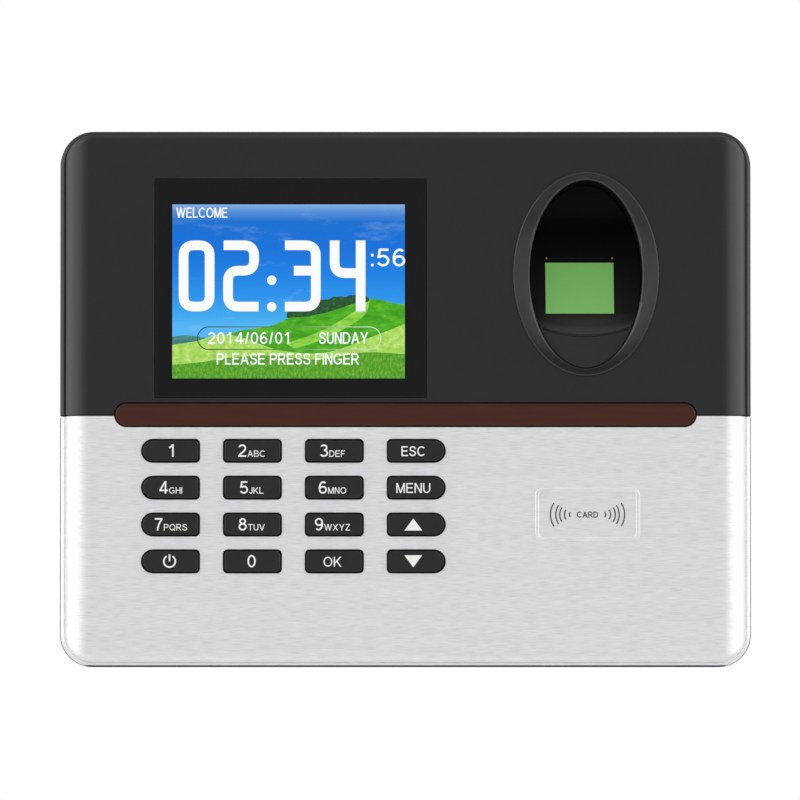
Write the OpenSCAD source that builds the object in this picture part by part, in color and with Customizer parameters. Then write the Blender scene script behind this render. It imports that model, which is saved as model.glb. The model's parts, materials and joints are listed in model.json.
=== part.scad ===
// Wall-mounted fingerprint and card terminal with a colour display and a 16-key pad.
// Millimetres. X runs to the right, Z runs up and Y runs into the wall. The origin is the
// centre of the wall plate's screw pattern on the wall, so a depth d away from the wall is
// y = -d. Most shapes are drawn as a front view (x, z) and extruded between two depths.

/* [Body] */
// Width of the two front covers
body_w = 170; // [169:0.5:172]
// Height of the two front covers together
body_h = 132; // [131:0.5:134]
// Depth from the wall to the front face
body_d = 36; // [36:0.5:38]
// Corner radius of the covers, seen from the front
corner_r = 8; // [7:0.5:10]
// Width of the stepped rim around the raised face
rim_w = 1; // [0.6:0.1:1.4]
// Radius of the rolled left and right edges of the face
side_roll = 6; // [4:0.5:6]
// Radius of the top and bottom edges of the face
edge_roll = 1.2; // [0.6:0.2:1.6]
// Wall thickness of the covers
wall = 2; // [1.8:0.1:2.2]
// Height of the seam between the two covers
seam_z = -4.2; // [-4.4:0.1:-3.8]
// Gap of that seam
seam_gap = 0.3; // [0.1:0.05:0.3]

/* [Screen] */
// Width of the glossy window
window_w = 66.9; // [64:0.1:67.5]
// Height of the glossy window
window_h = 53.8; // [52:0.1:54]
// Width of the picture area, a 2.8 inch 4:3 panel
picture_w = 57.6; // [56:0.1:58]
// Height of the picture area
picture_h = 43.2; // [42:0.1:43.6]

/* [Light bar] */
// Length of the brown light bar
bar_w = 143; // [140:0.5:143]
// Height of the brown light bar
bar_h = 5.6; // [5:0.1:5.8]
// Height of its middle line
bar_z = -4.1; // [-4.2:0.1:-3.8]

/* [Keypad] */
// Width of a key cap
key_w = 14; // [13:0.1:14.2]
// Height of a key cap
key_h = 5.4; // [5:0.1:5.6]
// Distance between key columns
key_pitch_x = 20.17; // [20:0.01:20.3]
// Distance between key rows
key_pitch_z = 9.07; // [8.9:0.01:9.1]
// Gap around a key cap in its aperture
key_gap = 0.2; // [0.2:0.05:0.3]
// How far a key cap stands out of the face
key_proud = 0.7; // [0.4:0.1:1]
// Travel of a key
key_travel = 1; // [0.8:0.1:1]

/* [Finger well] */
// Half width of the opening
well_a = 13.9; // [13.5:0.1:14]
// Half height of the opening
well_b = 23.2; // [22.8:0.1:23.4]
// Half width of the bezel's rim
bezel_a = 17.95; // [17.8:0.05:18.2]
// Half height of the bezel's rim
bezel_b = 25.1; // [25:0.05:25.4]
// Width of the glass platen
platen_w = 16.9; // [16:0.1:17]
// Length of the glass platen along its slope
platen_l = 15; // [14:0.1:15]
// Slope of the platen, back from upright
platen_tilt = 32.2; // [31:0.1:33]

/* [Wall mounting] */
// Distance between wall screw holes across
mount_w = 80; // [76:1:84]
// Distance between wall screw holes up
mount_h = 70; // [66:1:74]
// Diameter of the wall screw holes
mount_hole_d = 4.5; // [4:0.1:5]
// Thickness of the steel wall plate
plate_t = 1.5; // [1.2:0.1:1.5]
// Lift that frees the terminal from the hooks
hook_lift = 6; // [6:0.5:7]

/* [Hidden] */
$fn = 48;

KEY_NAMES = [
    ["key_1", "key_2", "key_3", "key_esc"],
    ["key_4", "key_5", "key_6", "key_menu"],
    ["key_7", "key_8", "key_9", "key_up"],
    ["key_power", "key_0", "key_ok", "key_down"],
];

eps = 0.01;
far = 200;
clear = 0.1;

// Depths away from the wall, from the back of the object to its front
skirt_back = 0.5;
web_back = 5;
web_front = 7;
board_back = 18.7;
board_t = 1.6;
board_front = board_back + board_t;
split_d = 21;
rim_d = body_d - side_roll;
inner_d = body_d - wall;
boss_d = inner_d + clear;
small_pilot_end = inner_d - 0.5;

// Front-view outlines of the housing and the face
face_w = body_w - 2 * rim_w;
face_h = body_h - 2 * rim_w;
face_r = corner_r - rim_w;
cavity_w = face_w - 2 * wall;
cavity_h = face_h - 2 * wall;
cavity_r = face_r - wall;
house_w = body_w - 4;
house_h = body_h - 4;
house_r = corner_r - 2;
groove_w = 0.4;
groove_d = 0.6;
lip_clear = 0.3;
lip_t = 1;
lip_top = split_d + 2;
lock_boss = [-61.8, -53];
tongue_pocket_d = 5.8;

// Cover screws
boss_x = 77;
UPPER_BOSSES = [for (sx = [-1, 1], z = [57, 6]) [sx * boss_x, z]];
LOWER_BOSSES = [for (sx = [-1, 1], z = [-12, -57]) [sx * boss_x, z]];
boss_r = 3.2;
pilot_r = 1.3;
pilot_end = 32;
house_boss_r = 4.2;
screw_clear_r = 1.6;
cross_l = 3.4;
cross_w = 0.7;
counterbore_r = 3;
counterbore_d = 14;
screw_r = 1.25;
screw_head_r = 2.75;
screw_head_h = 2;
screw_end = 27;

// Screen
window_at = [-28.3, 27.1];
picture_at = [-28.8, 26.3];
lens_d = body_d - 1;
tape_t = 0.2;
sight_w = picture_w + 2.4;
sight_h = picture_h + 2.2;
tape_w = 1;
frame_sight = 1.4;
light_guide_end = 4;
ribbon_slot_d = [31.2, 32];
panel_left = 2.8;
panel_right = 8.8;
panel_h = 50;
panel_x = [picture_at[0] - picture_w / 2 - panel_left,
           picture_at[0] + picture_w / 2 + panel_right];
panel_z = [picture_at[1] - panel_h / 2, picture_at[1] + panel_h / 2];
panel_back = 30.6;
panel_front = 33.4;
panel_wall = 1;
panel_lip = 0.4;
glass_back = 32.2;
bracket_back = 29.4;
bracket_x = [-67.5, 15.8];
bracket_z = [1, 52];
bracket_window = [52, 37];
gasket_w = 1.5;
ribbon_z = [19, 35];
LCD_RIBBON = [[5, 31.55], [11, 31.55], [12.6, 30], [12.6, 23], [10.5, 21], [4, 20.9]];
BRACKET_POSTS = [for (x = [-64.5, 12.8], z = [8, 46]) [x, z]];
post_r = 2.4;
small_screw_r = 0.95;
small_pilot_r = 1;
small_head_r = 2;
small_head_h = 1.6;
small_clear_r = 1.2;
bracket_screw_l = 3.8;
ear_screw_l = 6;
pad_screw_l = 4.6;
board_screw_l = 7;

// Light bar
bar_slot_gap = 0.1;
bar_flange_w = bar_w + 4;
bar_flange_h = 8.8;
bar_flange_d = inner_d - 2;
bar_proud = 0.2;
BAR_POSTS = [-50, 0, 50];
light_board_d = [28.6, 29.8];
light_board_w = 136;
light_board_h = 6;
bar_post_r = 1.5;
bar_pin_r = 0.9;
bar_pin_out = 0.4;
led_w = 3.5;
led_h = 2.8;
led_t = 1.1;
LED_X = [8, 24, 40, 60];

// Keypad
key_first = [-57.85, -13];
key_r = 1;
key_flange = 0.8;
key_flange_t = 1;
key_flange_d = inner_d - clear;
key_back = key_flange_d - key_flange_t;
pressed_dome = 0.9;
mat_t = 1;
mat_front = key_back - key_travel - pressed_dome;
mat_back = mat_front - mat_t;
pad_board_back = mat_back - board_t;
dome_r = [2.6, 1.7];
contact_r = 1.3;
pad_board_x = [-73, 17];
pad_board_z = [-47, -8.5];
mat_x = [-67.5, 12];
mat_z = [-45.5, -9];
pad_corner_x = [-70.5, 14.5];
pad_corner_z = [-11.5, -44];
PAD_POSTS = concat(
    [for (x = pad_corner_x, z = pad_corner_z) [x, z]],
    [for (z = [-17.45, -35.6]) [-27.7, z]]);
pad_post_r = 1.7;
PAD_RIBBON = [[-14, 28.25], [-9, 28.25], [-6, 27], [-2.5, 22], [-0.5, 20.9], [2, 20.9]];
pad_ribbon_x = [-54, -40];
mat_hole_r = 2;

// Card reader
card_at = [44.8, -28.7];
card_frame = [25.9, 13.2];
card_ridge = 0.95;
card_proud = 0.3;
card_r = 1.8;
card_inner_r = 1;
card_peg_out = 0.6;
card_board_size = [46, 34];
card_board_d = [30.4, 31.6];
card_peg_inset = 2.5;
CARD_PEGS = [for (sx = [-1, 1], sz = [-1, 1])
    card_at + [sx * (card_board_size[0] / 2 - card_peg_inset),
               sz * (card_board_size[1] / 2 - card_peg_inset)]];
card_peg_r = 1.2;
card_shoulder_r = 2;
coil_turns = 5;
coil_pitch = 1.2;
coil_size = [36, 28];
coil_r = 2;
trace_w = 0.6;
trace_t = 0.15;

// Finger well: its floor is a Y-Z profile of [z, d] points
well_at = [44.5, 30.6];
ear_offset = 20;
ear_reach = 18.5;
WELL_POSTS = [for (sx = [-1, 1], sz = [-1, 1])
    well_at + [sx * ear_reach, sz * ear_offset]];
platen_at = [43.1, 27.15];
platen_d = 24;
bezel_front = body_d + 0.5;
bezel_flange = 0.75;
bezel_fit = 0.15;
bezel_land = 0.5;
ramp_end = [-5, 36.2];
well_end = 70;
brow_back = 1.6;
platform_t = 2;
bezel_back = 33;
funnel_back = 33.6;
cup_wall = 1.6;
cup_deep = 13;
slope = tan(platen_tilt);
function platen_plane(z) = platen_d - slope * (z - platen_at[1]);
ledge_z = 16.4;
ledge_d = 31.4;
step_z = 17.3;
brow_z = 35.5;
WELL_FLOOR = [
    ramp_end, [ledge_z, ledge_d], [step_z, platen_plane(step_z)],
    [brow_z, platen_plane(brow_z)], [brow_z + 0.5, cup_deep], [well_end, cup_deep],
];
WELL_BACK = [
    [ramp_end[0], ramp_end[1] - platform_t], [ledge_z, ledge_d - platform_t],
    [step_z, platen_plane(step_z) - platform_t],
    [brow_z - brow_back, platen_plane(brow_z - brow_back) - platform_t],
    [brow_z - brow_back + 0.4, cup_deep - platform_t],
    [well_end, cup_deep - platform_t],
];
ear_d = [26, 28];
ear_w = 42.6;
ear_h = 5.6;
well_side = 30;
ear_root_z = [7, 15];
cup_fit = 0.05;
prism_t = 8;
prism_cut = 4;
case_x = 10.3;
case_z = [-9, 8.3];
case_y = [2, 12];
case_window = [[-7, 7], [-7, 3]];
sensor_board_t = 1.2;
camera_box = [[-3.5, 3.5], [-5.5, 1.5]];
camera_base = 1.6;
camera_at = [0, -2];
camera_r = 2.6;
LAMPS = [for (x = [-5.6, 5.6], z = [-5.5, -0.5]) [x, z]];
lamp_half = 0.8;
lamp_t = 0.8;

// Electronics
MAIN_OUTLINE = [[-72, -60], [-37, -60], [-37, -5.5], [21, -5.5], [21, 56], [-72, 56]];
BOARD_POSTS = [[-68, 52], [17, 52], [-68, -56], [-41, -56], [18, 8]];
board_post_r = 3;

// Parts on the main board, each with its x and z ranges and its height: the processor,
// memory, network chip, display and keypad connectors in front, the relay and coil behind
FRONT_PARTS = [
    [[-38, -24], [24, 38], 1.4], [[-14, -4], [26, 38], 1.2], [[-36, -26], [4, 12], 1.2],
    [[2, 4], [18, 36], 1.8], [[-54, -40], [2, 5], 2.4],
];
BACK_PARTS = [[[-66, -56], [26, 41], 10], [[-44, -34], [30, 42], 4]];
coin_cell_at = [-58, 34];
coin_cell_r = 10;
coin_cell_h = 3.2;
CAPACITORS = [[-62, -30], [-54, -30]];
capacitor_r = 3.2;
capacitor_h = 8;

// Cable bay and its sockets
bay_x = [-34, 20];
bay_z = [-38, -8];
bay_d = 20;
bay_wall = 1.5;
lan_x = [-32, -16];
lan_back = 7.2;
lan_l = 21;
lan_port_w = 11.8;
lan_port_l = 13;
lan_port_d = [2.4, 1.4];
lan_latch_w = 6;
lan_latch_d = [0.9, 3];
jack_x = [-12, -3];
jack_back = 7.7;
jack_l = 14;
jack_bore_r = 3.1;
jack_bore_l = 10;
jack_pin_r = 1;
block_x = [-1, 16.5];
block_back = 8.7;
block_l = 11;
wire_ways = 5;
wire_hole_w = 2.4;
wire_hole_l = 6;
wire_hole_d = [6, 2.6];
clamp_r = 1.3;
clamp_z = 5;
clamp_l = 2;
usb_x = [-63.25, -48.75];
usb_back = 11.7;
usb_l = 14;
usb_port_w = 12.6;
usb_port_l = 12.5;
usb_shell = [0.8, 1];
usb_tongue_w = 11.2;
usb_tongue_z = [2, 13];
usb_tongue_d = [3.4, 1.4];
speaker_at = [62, -42];
speaker_r = 14;
speaker_h = 4.5;
speaker_rim = 1.2;
magnet_r = 8;
magnet_h = 3;
cone_r = speaker_r - speaker_rim - 0.05;
cone_cap_r = 4;
cone_low = 2.4;
cone_high = 2.9;
battery_at = [-7, -50.5];
battery_size = [50, 18];
battery_t = 9;
battery_r = 2;
speaker_seat = 1.8;
speaker_seat_d = 10;
grille_r = 1.1;
GRILLE_RINGS = [4, 8];
tamper_at = [-46, 8];
ribbon_t = 0.3;
plunger_r = 1.7;
plunger_clear = 0.4;
plunger_tip = plate_t + clear;
plunger_end = 13.9;
plunger_collar_r = 2.7;
plunger_collar_d = [8, 9];
switch_w = 6;
switch_gap = 0.8;
spring_r = [2.1, 2.6];

// Wall plate
plate_w = 104;
plate_h = 96;
plate_r = 4;
cable_at = [-7, -23];
cable_w = 50;
cable_h = 26;
cable_r = 3;
foot_out = 5.4;
HOOKS = [[-20, 34], [20, 34], [-42, -30], [42, -30]];
hook_w = 8;
hook_neck = 3;
hook_leg = 8;
hook_out = 8.8;
hook_window = 10;
slot_clear = 0.5;
tongue_w = 12;
tongue_z = -63.8;
lock_d = 3.6;
lock_boss_w = 8;
lock_r = 1;
lock_head_r = 2.2;
lock_head_h = 1.8;
lock_key_r = 1.1;
lock_l = 8.8;

// ---------- Drawing helpers ----------

// Extrudes a front view (x, z) from depth d0 to depth d1
module slab(d0, d1) {
    translate([0, -d0, 0]) rotate([90, 0, 0]) linear_extrude(d1 - d0) children();
}

// A box given by its x, z and depth ranges
module block(x, z, d) {
    translate([x[0], -d[1], z[0]]) cube([x[1] - x[0], d[1] - d[0], z[1] - z[0]]);
}

// A round bar along the depth at front-view point p
module rod(p, r, d0, d1) {
    translate([p[0], -d0, p[1]]) rotate([90, 0, 0]) cylinder(r = r, h = d1 - d0);
}

// Extrudes a side view, a list of [z, d] points, from x0 to x1
module side_profile(points, x0, x1) {
    translate([x0, 0, 0]) rotate([90, 0, 90]) linear_extrude(x1 - x0)
        polygon([for (p = points) [-p[1], p[0]]]);
}

// Extrudes a top view, a list of [x, d] points, from z0 to z1
module plan_profile(points, z0, z1) {
    translate([0, 0, z0]) linear_extrude(z1 - z0) polygon([for (p = points) [p[0], -p[1]]]);
}

// Outline of a flat cable of thickness ribbon_t along a path
function normal_at(path, i) = let(
    along = path[min(i + 1, len(path) - 1)] - path[max(i - 1, 0)],
    length = norm(along)) [-along[1], along[0]] / length;
function strip(path) = concat(
    [for (i = [0 : len(path) - 1]) path[i] + ribbon_t / 2 * normal_at(path, i)],
    [for (i = [len(path) - 1 : -1 : 0]) path[i] - ribbon_t / 2 * normal_at(path, i)]);

module rounded(w, h, r) {
    square([w - 2 * r, h], center = true);
    square([w, h - 2 * r], center = true);
    for (sx = [-1, 1], sz = [-1, 1])
        translate([sx * (w / 2 - r), sz * (h / 2 - r)]) circle(r);
}

module stadium(w, h) {
    square([w - h, h], center = true);
    for (sx = [-1, 1]) translate([sx * (w - h) / 2, 0]) circle(h / 2);
}

module ellipse(a, b) {
    polygon([for (t = [0 : 5 : 355]) [a * cos(t), b * sin(t)]]);
}

// A rectangle w wide from depth d0 to d1 whose two front corners are rounded
module front_rounded(w, d0, d1, r) {
    translate([-w / 2, r - d1]) square([w, d1 - r - d0]);
    translate([r - w / 2, -d1]) square([w - 2 * r, r + eps]);
    for (sx = [-1, 1]) translate([sx * (w / 2 - r), r - d1]) circle(r);
}

module ring_holes(p, rings, r, d0, d1) {
    rod(p, r, d0, d1);
    for (k = [1 : len(rings)], i = [0 : 6 * k - 1])
        rod([p[0] + rings[k - 1] * cos(60 * i / k), p[1] + rings[k - 1] * sin(60 * i / k)],
            r, d0, d1);
}

// ---------- Covers ----------

module cover_blank() {
    slab(split_d, rim_d) rounded(body_w, body_h, corner_r);
    intersection() {
        slab(rim_d - 1, body_d) rounded(face_w, face_h, face_r);
        translate([0, 0, -far / 2]) linear_extrude(far)
            front_rounded(face_w, split_d, body_d, side_roll);
        translate([-far / 2, 0, 0]) rotate([90, 0, 90]) linear_extrude(far)
            rotate(-90) front_rounded(face_h, split_d, body_d, edge_roll);
    }
}

module cover_cavity() {
    intersection() {
        slab(split_d - 1, inner_d) rounded(cavity_w, cavity_h, cavity_r);
        translate([0, 0, -far / 2]) linear_extrude(far)
            front_rounded(cavity_w, split_d - 2, inner_d, side_roll - wall);
    }
}

module rim_groove() {
    slab(rim_d - groove_d, rim_d + eps) difference() {
        rounded(face_w + 2 * groove_w, face_h + 2 * groove_w, face_r + groove_w);
        rounded(face_w, face_h, face_r);
    }
}

// The shell of one cover: z_range keeps its side of the seam
module cover_shell(z_range) {
    intersection() {
        difference() {
            cover_blank();
            cover_cavity();
            rim_groove();
        }
        block([-far, far], z_range, [0, 2 * body_d]);
    }
}

module bar_slot() {
    translate([0, 0, bar_z]) slab(inner_d - 1, body_d + 1)
        stadium(bar_w + 2 * bar_slot_gap, bar_h + 2 * bar_slot_gap);
}

module upper_cover() color([0.2, 0.2, 0.21]) {
    difference() {
        union() {
            cover_shell([seam_z + seam_gap / 2, far]);
            for (p = UPPER_BOSSES) rod(p, boss_r, split_d, boss_d);
            for (p = BRACKET_POSTS) rod(p, post_r, panel_back, boss_d);
            for (p = WELL_POSTS) rod(p, post_r, ear_d[1], boss_d);
        }
        for (p = UPPER_BOSSES) rod(p, pilot_r, split_d - 1, pilot_end);
        for (p = BRACKET_POSTS) rod(p, small_pilot_r, panel_back - 1, small_pilot_end);
        for (p = WELL_POSTS) rod(p, small_pilot_r, ear_d[1] - 1, small_pilot_end);
        bar_slot();
        translate([window_at[0], 0, window_at[1]]) slab(lens_d - tape_t, body_d + 1)
            square([window_w + 2 * clear, window_h + 2 * clear], center = true);
        translate([picture_at[0], 0, picture_at[1]]) slab(inner_d - 1, body_d)
            square([sight_w, sight_h], center = true);
        translate([well_at[0], 0, well_at[1]]) slab(inner_d - 1, body_d + 1)
            ellipse(bezel_a - bezel_flange + bezel_fit, bezel_b - bezel_flange + bezel_fit);
    }
}

module lower_cover() color([0.84, 0.84, 0.85]) {
    difference() {
        union() {
            cover_shell([-far, seam_z - seam_gap / 2]);
            for (p = LOWER_BOSSES) rod(p, boss_r, split_d, boss_d);
            for (p = PAD_POSTS) rod(p, pad_post_r, mat_back, boss_d);
            for (p = CARD_PEGS) rod(p, card_peg_r, card_board_d[0] - card_peg_out, boss_d);
            for (p = CARD_PEGS) rod(p, card_shoulder_r, card_board_d[1], boss_d);
            translate([card_at[0], 0, card_at[1]]) slab(body_d - clear, body_d + card_proud)
                difference() {
                    rounded(card_frame[0], card_frame[1], card_r);
                    rounded(card_frame[0] - 2 * card_ridge, card_frame[1] - 2 * card_ridge, card_inner_r);
                }
        }
        for (p = LOWER_BOSSES) rod(p, pilot_r, split_d - 1, pilot_end);
        for (p = PAD_POSTS) rod(p, small_pilot_r, mat_back - 1, small_pilot_end);
        bar_slot();
        for (col = [0 : 3], row = [0 : 3]) at_key(col, row)
            slab(inner_d - 1, body_d + 1) key_outline(col, key_gap);
    }
}

module rear_housing() color([0.16, 0.16, 0.17]) {
    difference() {
        union() {
            slab(skirt_back, split_d) difference() {
                rounded(house_w, house_h, house_r);
                rounded(house_w - 2 * wall, house_h - 2 * wall, house_r - wall);
            }
            slab(web_back, web_front)
                rounded(house_w - wall, house_h - wall, house_r - wall / 2);
            slab(split_d - 1, lip_top) difference() {
                rounded(cavity_w - 2 * lip_clear, cavity_h - 2 * lip_clear, cavity_r - lip_clear);
                rounded(cavity_w - 2 * (lip_clear + lip_t), cavity_h - 2 * (lip_clear + lip_t),
                        cavity_r - lip_clear - lip_t);
            }
            for (p = concat(UPPER_BOSSES, LOWER_BOSSES)) rod(p, house_boss_r, web_back, split_d);
            for (p = BOARD_POSTS) rod(p, board_post_r, web_back, board_back);
            rod(speaker_at, speaker_r + speaker_seat, web_back, speaker_seat_d);
            block([bay_x[0] - bay_wall, bay_x[1] + bay_wall],
                  [bay_z[0] - bay_wall, bay_z[1] + bay_wall], [web_back, bay_d + bay_wall]);
            block([-lock_boss_w / 2, lock_boss_w / 2], lock_boss, [plate_t + lip_clear, web_front]);
        }
        for (p = concat(UPPER_BOSSES, LOWER_BOSSES)) {
            rod(p, screw_clear_r, 0, far);
            rod(p, counterbore_r, 0, counterbore_d);
        }
        for (p = BOARD_POSTS) rod(p, small_pilot_r, web_front + 1, board_back + 1);
        rod(speaker_at, speaker_r + lip_clear, web_front, speaker_seat_d + 1);
        ring_holes(speaker_at, GRILLE_RINGS, grille_r, 0, web_front + 1);
        block(bay_x, bay_z, [0, bay_d]);
        bay_mouth(lan_x, lan_back);
        bay_mouth(jack_x, jack_back);
        bay_mouth(block_x, block_back);
        for (h = HOOKS)
            block([h[0] - hook_w / 2 - slot_clear, h[0] + hook_w / 2 + slot_clear],
                  [h[1] - hook_lift - slot_clear, h[1] + hook_neck + 0.05], [0, web_front + 1]);
        rod(tamper_at, plunger_r + plunger_clear, 0, web_front + 1);
        block([usb_x[0] - 0.3, usb_x[1] + 0.3], [-far, -house_h / 2 + wall + 1],
              [usb_back - 0.3, board_back + 0.3]);
        block([-tongue_w / 2 - 1, tongue_w / 2 + 1], [-far, -house_h / 2 + wall], [0, tongue_pocket_d]);
        translate([0, -lock_d, -far]) cylinder(r = lock_r + 0.15, h = far - 54);
    }
}

// The aperture of one socket in the cable bay's ceiling
module bay_mouth(x, back) {
    block([x[0] - 0.2, x[1] + 0.2], [bay_z[1] - 1, bay_z[1] + bay_wall + 1],
          [back - 0.2, board_back + 0.2]);
}

module cover_screws() color([0.7, 0.7, 0.72]) {
    for (p = concat(UPPER_BOSSES, LOWER_BOSSES)) {
        difference() {
            rod(p, screw_head_r, counterbore_d - screw_head_h, counterbore_d);
            for (a = [0, 90]) translate([p[0], 0, p[1]]) rotate([0, a, 0])
                block([-cross_l / 2, cross_l / 2], [-cross_w / 2, cross_w / 2],
                      [counterbore_d - screw_head_h - 1, counterbore_d - screw_head_h + 1]);
        }
        rod(p, screw_r, counterbore_d - eps, screw_end);
    }
}

// ---------- Light bar ----------

module light_bar() color([0.3, 0.18, 0.14]) {
    translate([0, 0, bar_z]) {
        slab(inner_d - clear, body_d + bar_proud) stadium(bar_w, bar_h);
        slab(bar_flange_d, inner_d - clear) stadium(bar_flange_w, bar_flange_h);
        for (x = BAR_POSTS) {
            rod([x, 0], bar_post_r, light_board_d[1], bar_flange_d + eps);
            rod([x, 0], bar_pin_r, light_board_d[0] - bar_pin_out, light_board_d[1] + eps);
        }
    }
}

module light_board() color([0.1, 0.35, 0.2]) {
    translate([0, 0, bar_z]) difference() {
        slab(light_board_d[0], light_board_d[1])
            square([light_board_w, light_board_h], center = true);
        for (x = BAR_POSTS)
            rod([x, 0], bar_pin_r + clear, light_board_d[0] - 1, light_board_d[1] + 1);
    }
}

module light_leds() color([0.95, 0.9, 0.7]) {
    for (sx = [-1, 1], x = LED_X)
        block([sx * x - led_w / 2, sx * x + led_w / 2], [bar_z - led_h / 2, bar_z + led_h / 2],
              [light_board_d[1], light_board_d[1] + led_t]);
}

// ---------- Screen ----------

module screen_lens() color([0.08, 0.08, 0.09]) {
    translate([window_at[0], 0, window_at[1]]) slab(lens_d, body_d)
        square([window_w, window_h], center = true);
}

module lens_tape() color([0.85, 0.8, 0.7]) {
    slab(lens_d - tape_t, lens_d) difference() {
        translate(window_at) square([window_w - tape_w, window_h - tape_w], center = true);
        translate(picture_at) square([sight_w + tape_w, sight_h + tape_w], center = true);
    }
}

module lcd_gasket() color([0.12, 0.12, 0.12]) {
    translate([picture_at[0], 0, picture_at[1]]) slab(panel_front, inner_d) difference() {
        square([sight_w + 2 * gasket_w, sight_h + 2 * gasket_w], center = true);
        square([sight_w, sight_h], center = true);
    }
}

module lcd_frame() color([0.75, 0.76, 0.78]) {
    difference() {
        block(panel_x, panel_z, [panel_back, panel_front]);
        block([panel_x[0] + panel_wall, panel_x[1] - panel_wall],
              [panel_z[0] + panel_wall, panel_z[1] - panel_wall],
              [panel_back + panel_lip, panel_front - panel_lip]);
        translate([picture_at[0], 0, picture_at[1]]) slab(glass_back, panel_front + 1)
            square([picture_w + frame_sight, picture_h + frame_sight], center = true);
        block([panel_x[1] - 2, panel_x[1] + 1], [ribbon_z[0] - 1, ribbon_z[1] + 1],
              ribbon_slot_d);
    }
}

module lcd_glass() color([0.25, 0.5, 0.8]) {
    block([panel_x[0] + panel_wall + clear, panel_x[1] - panel_wall - clear],
          [panel_z[0] + panel_wall + clear, panel_z[1] - panel_wall - clear],
          [glass_back, panel_front - panel_lip]);
}

module lcd_backlight() color([0.9, 0.92, 0.95]) {
    block([panel_x[0] + panel_wall + clear, panel_x[1] - light_guide_end],
          [panel_z[0] + panel_wall + clear, panel_z[1] - panel_wall - clear],
          [panel_back + panel_lip, glass_back]);
}

module lcd_bracket() color([0.2, 0.2, 0.2]) {
    difference() {
        block(bracket_x, bracket_z, [bracket_back, panel_back]);
        translate([picture_at[0], 0, picture_at[1]]) slab(bracket_back - 1, panel_back + 1)
            square(bracket_window, center = true);
        block([panel_x[1] - 0.4, bracket_x[1] + 1], [ribbon_z[0] - 3, ribbon_z[1] + 3],
              [bracket_back - 1, panel_back + 1]);
        for (p = BRACKET_POSTS) rod(p, small_clear_r, bracket_back - 1, panel_back + 1);
    }
}

// A flat flex from the panel's right end back to the main board
module lcd_ribbon() color([0.75, 0.5, 0.2]) {
    plan_profile(strip(LCD_RIBBON),
                 ribbon_z[0], ribbon_z[1]);
}

// ---------- Finger well and sensor ----------

module finger_bezel() color([0.24, 0.24, 0.25]) {
    translate([well_at[0], 0, well_at[1]]) difference() {
        union() {
            slab(body_d, bezel_front) ellipse(bezel_a, bezel_b);
            slab(bezel_back, body_d) ellipse(bezel_a - bezel_flange, bezel_b - bezel_flange);
        }
        hull() {
            slab(bezel_front, bezel_front + eps) ellipse(bezel_a - bezel_land, bezel_b - bezel_land);
            slab(funnel_back, funnel_back + eps) ellipse(well_a, well_b);
        }
        slab(bezel_back - 1, funnel_back + 0.1) ellipse(well_a, well_b);
    }
}

// Everything in front of a [z, d] profile
module in_front_of(profile) {
    side_profile(concat(profile, [[well_end, far], [ramp_end[0], far]]),
                 well_at[0] - well_side, well_at[0] + well_side);
}

// Places its children on the platen: local -Y points out of the glass, local Z up its slope
module on_platen() {
    translate([platen_at[0], -platen_d, platen_at[1]]) rotate([-platen_tilt, 0, 0]) children();
}

module finger_well() color([0.13, 0.13, 0.14]) {
    difference() {
        intersection() {
            translate([well_at[0], 0, well_at[1]]) union() {
                slab(cup_deep - 3, bezel_back) ellipse(well_a + cup_wall, well_b + cup_wall);
                slab(bezel_back - 1, body_d) ellipse(well_a - cup_fit, well_b - cup_fit);
                for (sz = [-1, 1]) translate([0, 0, sz * ear_offset]) slab(ear_d[0], ear_d[1])
                    square([ear_w, ear_h], center = true);
            }
            union() {
                in_front_of(WELL_BACK);
                block([well_at[0] - well_side, well_at[0] + well_side], ear_root_z,
                      [ear_d[0], bezel_back]);
            }
        }
        intersection() {
            translate([well_at[0], 0, well_at[1]]) slab(0, far) ellipse(well_a, well_b);
            in_front_of(WELL_FLOOR);
        }
        on_platen() block([-platen_w / 2 - clear, platen_w / 2 + clear],
                          [-platen_l / 2 - clear, platen_l / 2 + clear], [-4, 1]);
        for (p = WELL_POSTS) rod(p, small_clear_r, ear_d[0] - 1, ear_d[1] + 1);
    }
}

module sensor_prism() color([0.44, 0.66, 0.36]) {
    on_platen() side_profile([[-platen_l / 2, 0], [platen_l / 2, 0],
                              [platen_l / 2 - prism_cut, -prism_t], [-platen_l / 2, -prism_t]],
                             -platen_w / 2, platen_w / 2);
}

module sensor_case() color([0.1, 0.1, 0.1]) {
    on_platen() difference() {
        block([-case_x, case_x], case_z, [-case_y[1], -case_y[0]]);
        block([-platen_w / 2 - clear, platen_w / 2 + clear],
              [-platen_l / 2 - clear, platen_l / 2 + clear], [-prism_t, 0]);
        block(case_window[0], case_window[1], [-case_y[1] - 1, -prism_t + 1]);
    }
}

module sensor_camera() color([0.2, 0.2, 0.22]) {
    on_platen() {
        block(camera_box[0], camera_box[1], [-case_y[1], -case_y[1] + camera_base]);
        rod(camera_at, camera_r, -case_y[1] + camera_base - eps, -prism_t - lip_clear);
    }
}

module sensor_leds() color([0.9, 0.9, 0.8]) {
    on_platen() for (p = LAMPS)
        block([p[0] - lamp_half, p[0] + lamp_half], [p[1] - lamp_half, p[1] + lamp_half],
              [-case_y[1], -case_y[1] + lamp_t]);
}

module sensor_board() color([0.1, 0.3, 0.5]) {
    on_platen() block([-case_x, case_x], case_z, [-case_y[1] - sensor_board_t, -case_y[1]]);
}

module small_screw(p, d0, length) {
    rod(p, small_head_r, d0 - small_head_h, d0);
    rod(p, small_screw_r, d0 - eps, d0 + length);
}

module module_screws() color([0.75, 0.75, 0.76]) {
    for (p = BRACKET_POSTS) small_screw(p, bracket_back, bracket_screw_l);
    for (p = WELL_POSTS) small_screw(p, ear_d[0], ear_screw_l);
}

// ---------- Keypad ----------

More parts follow.
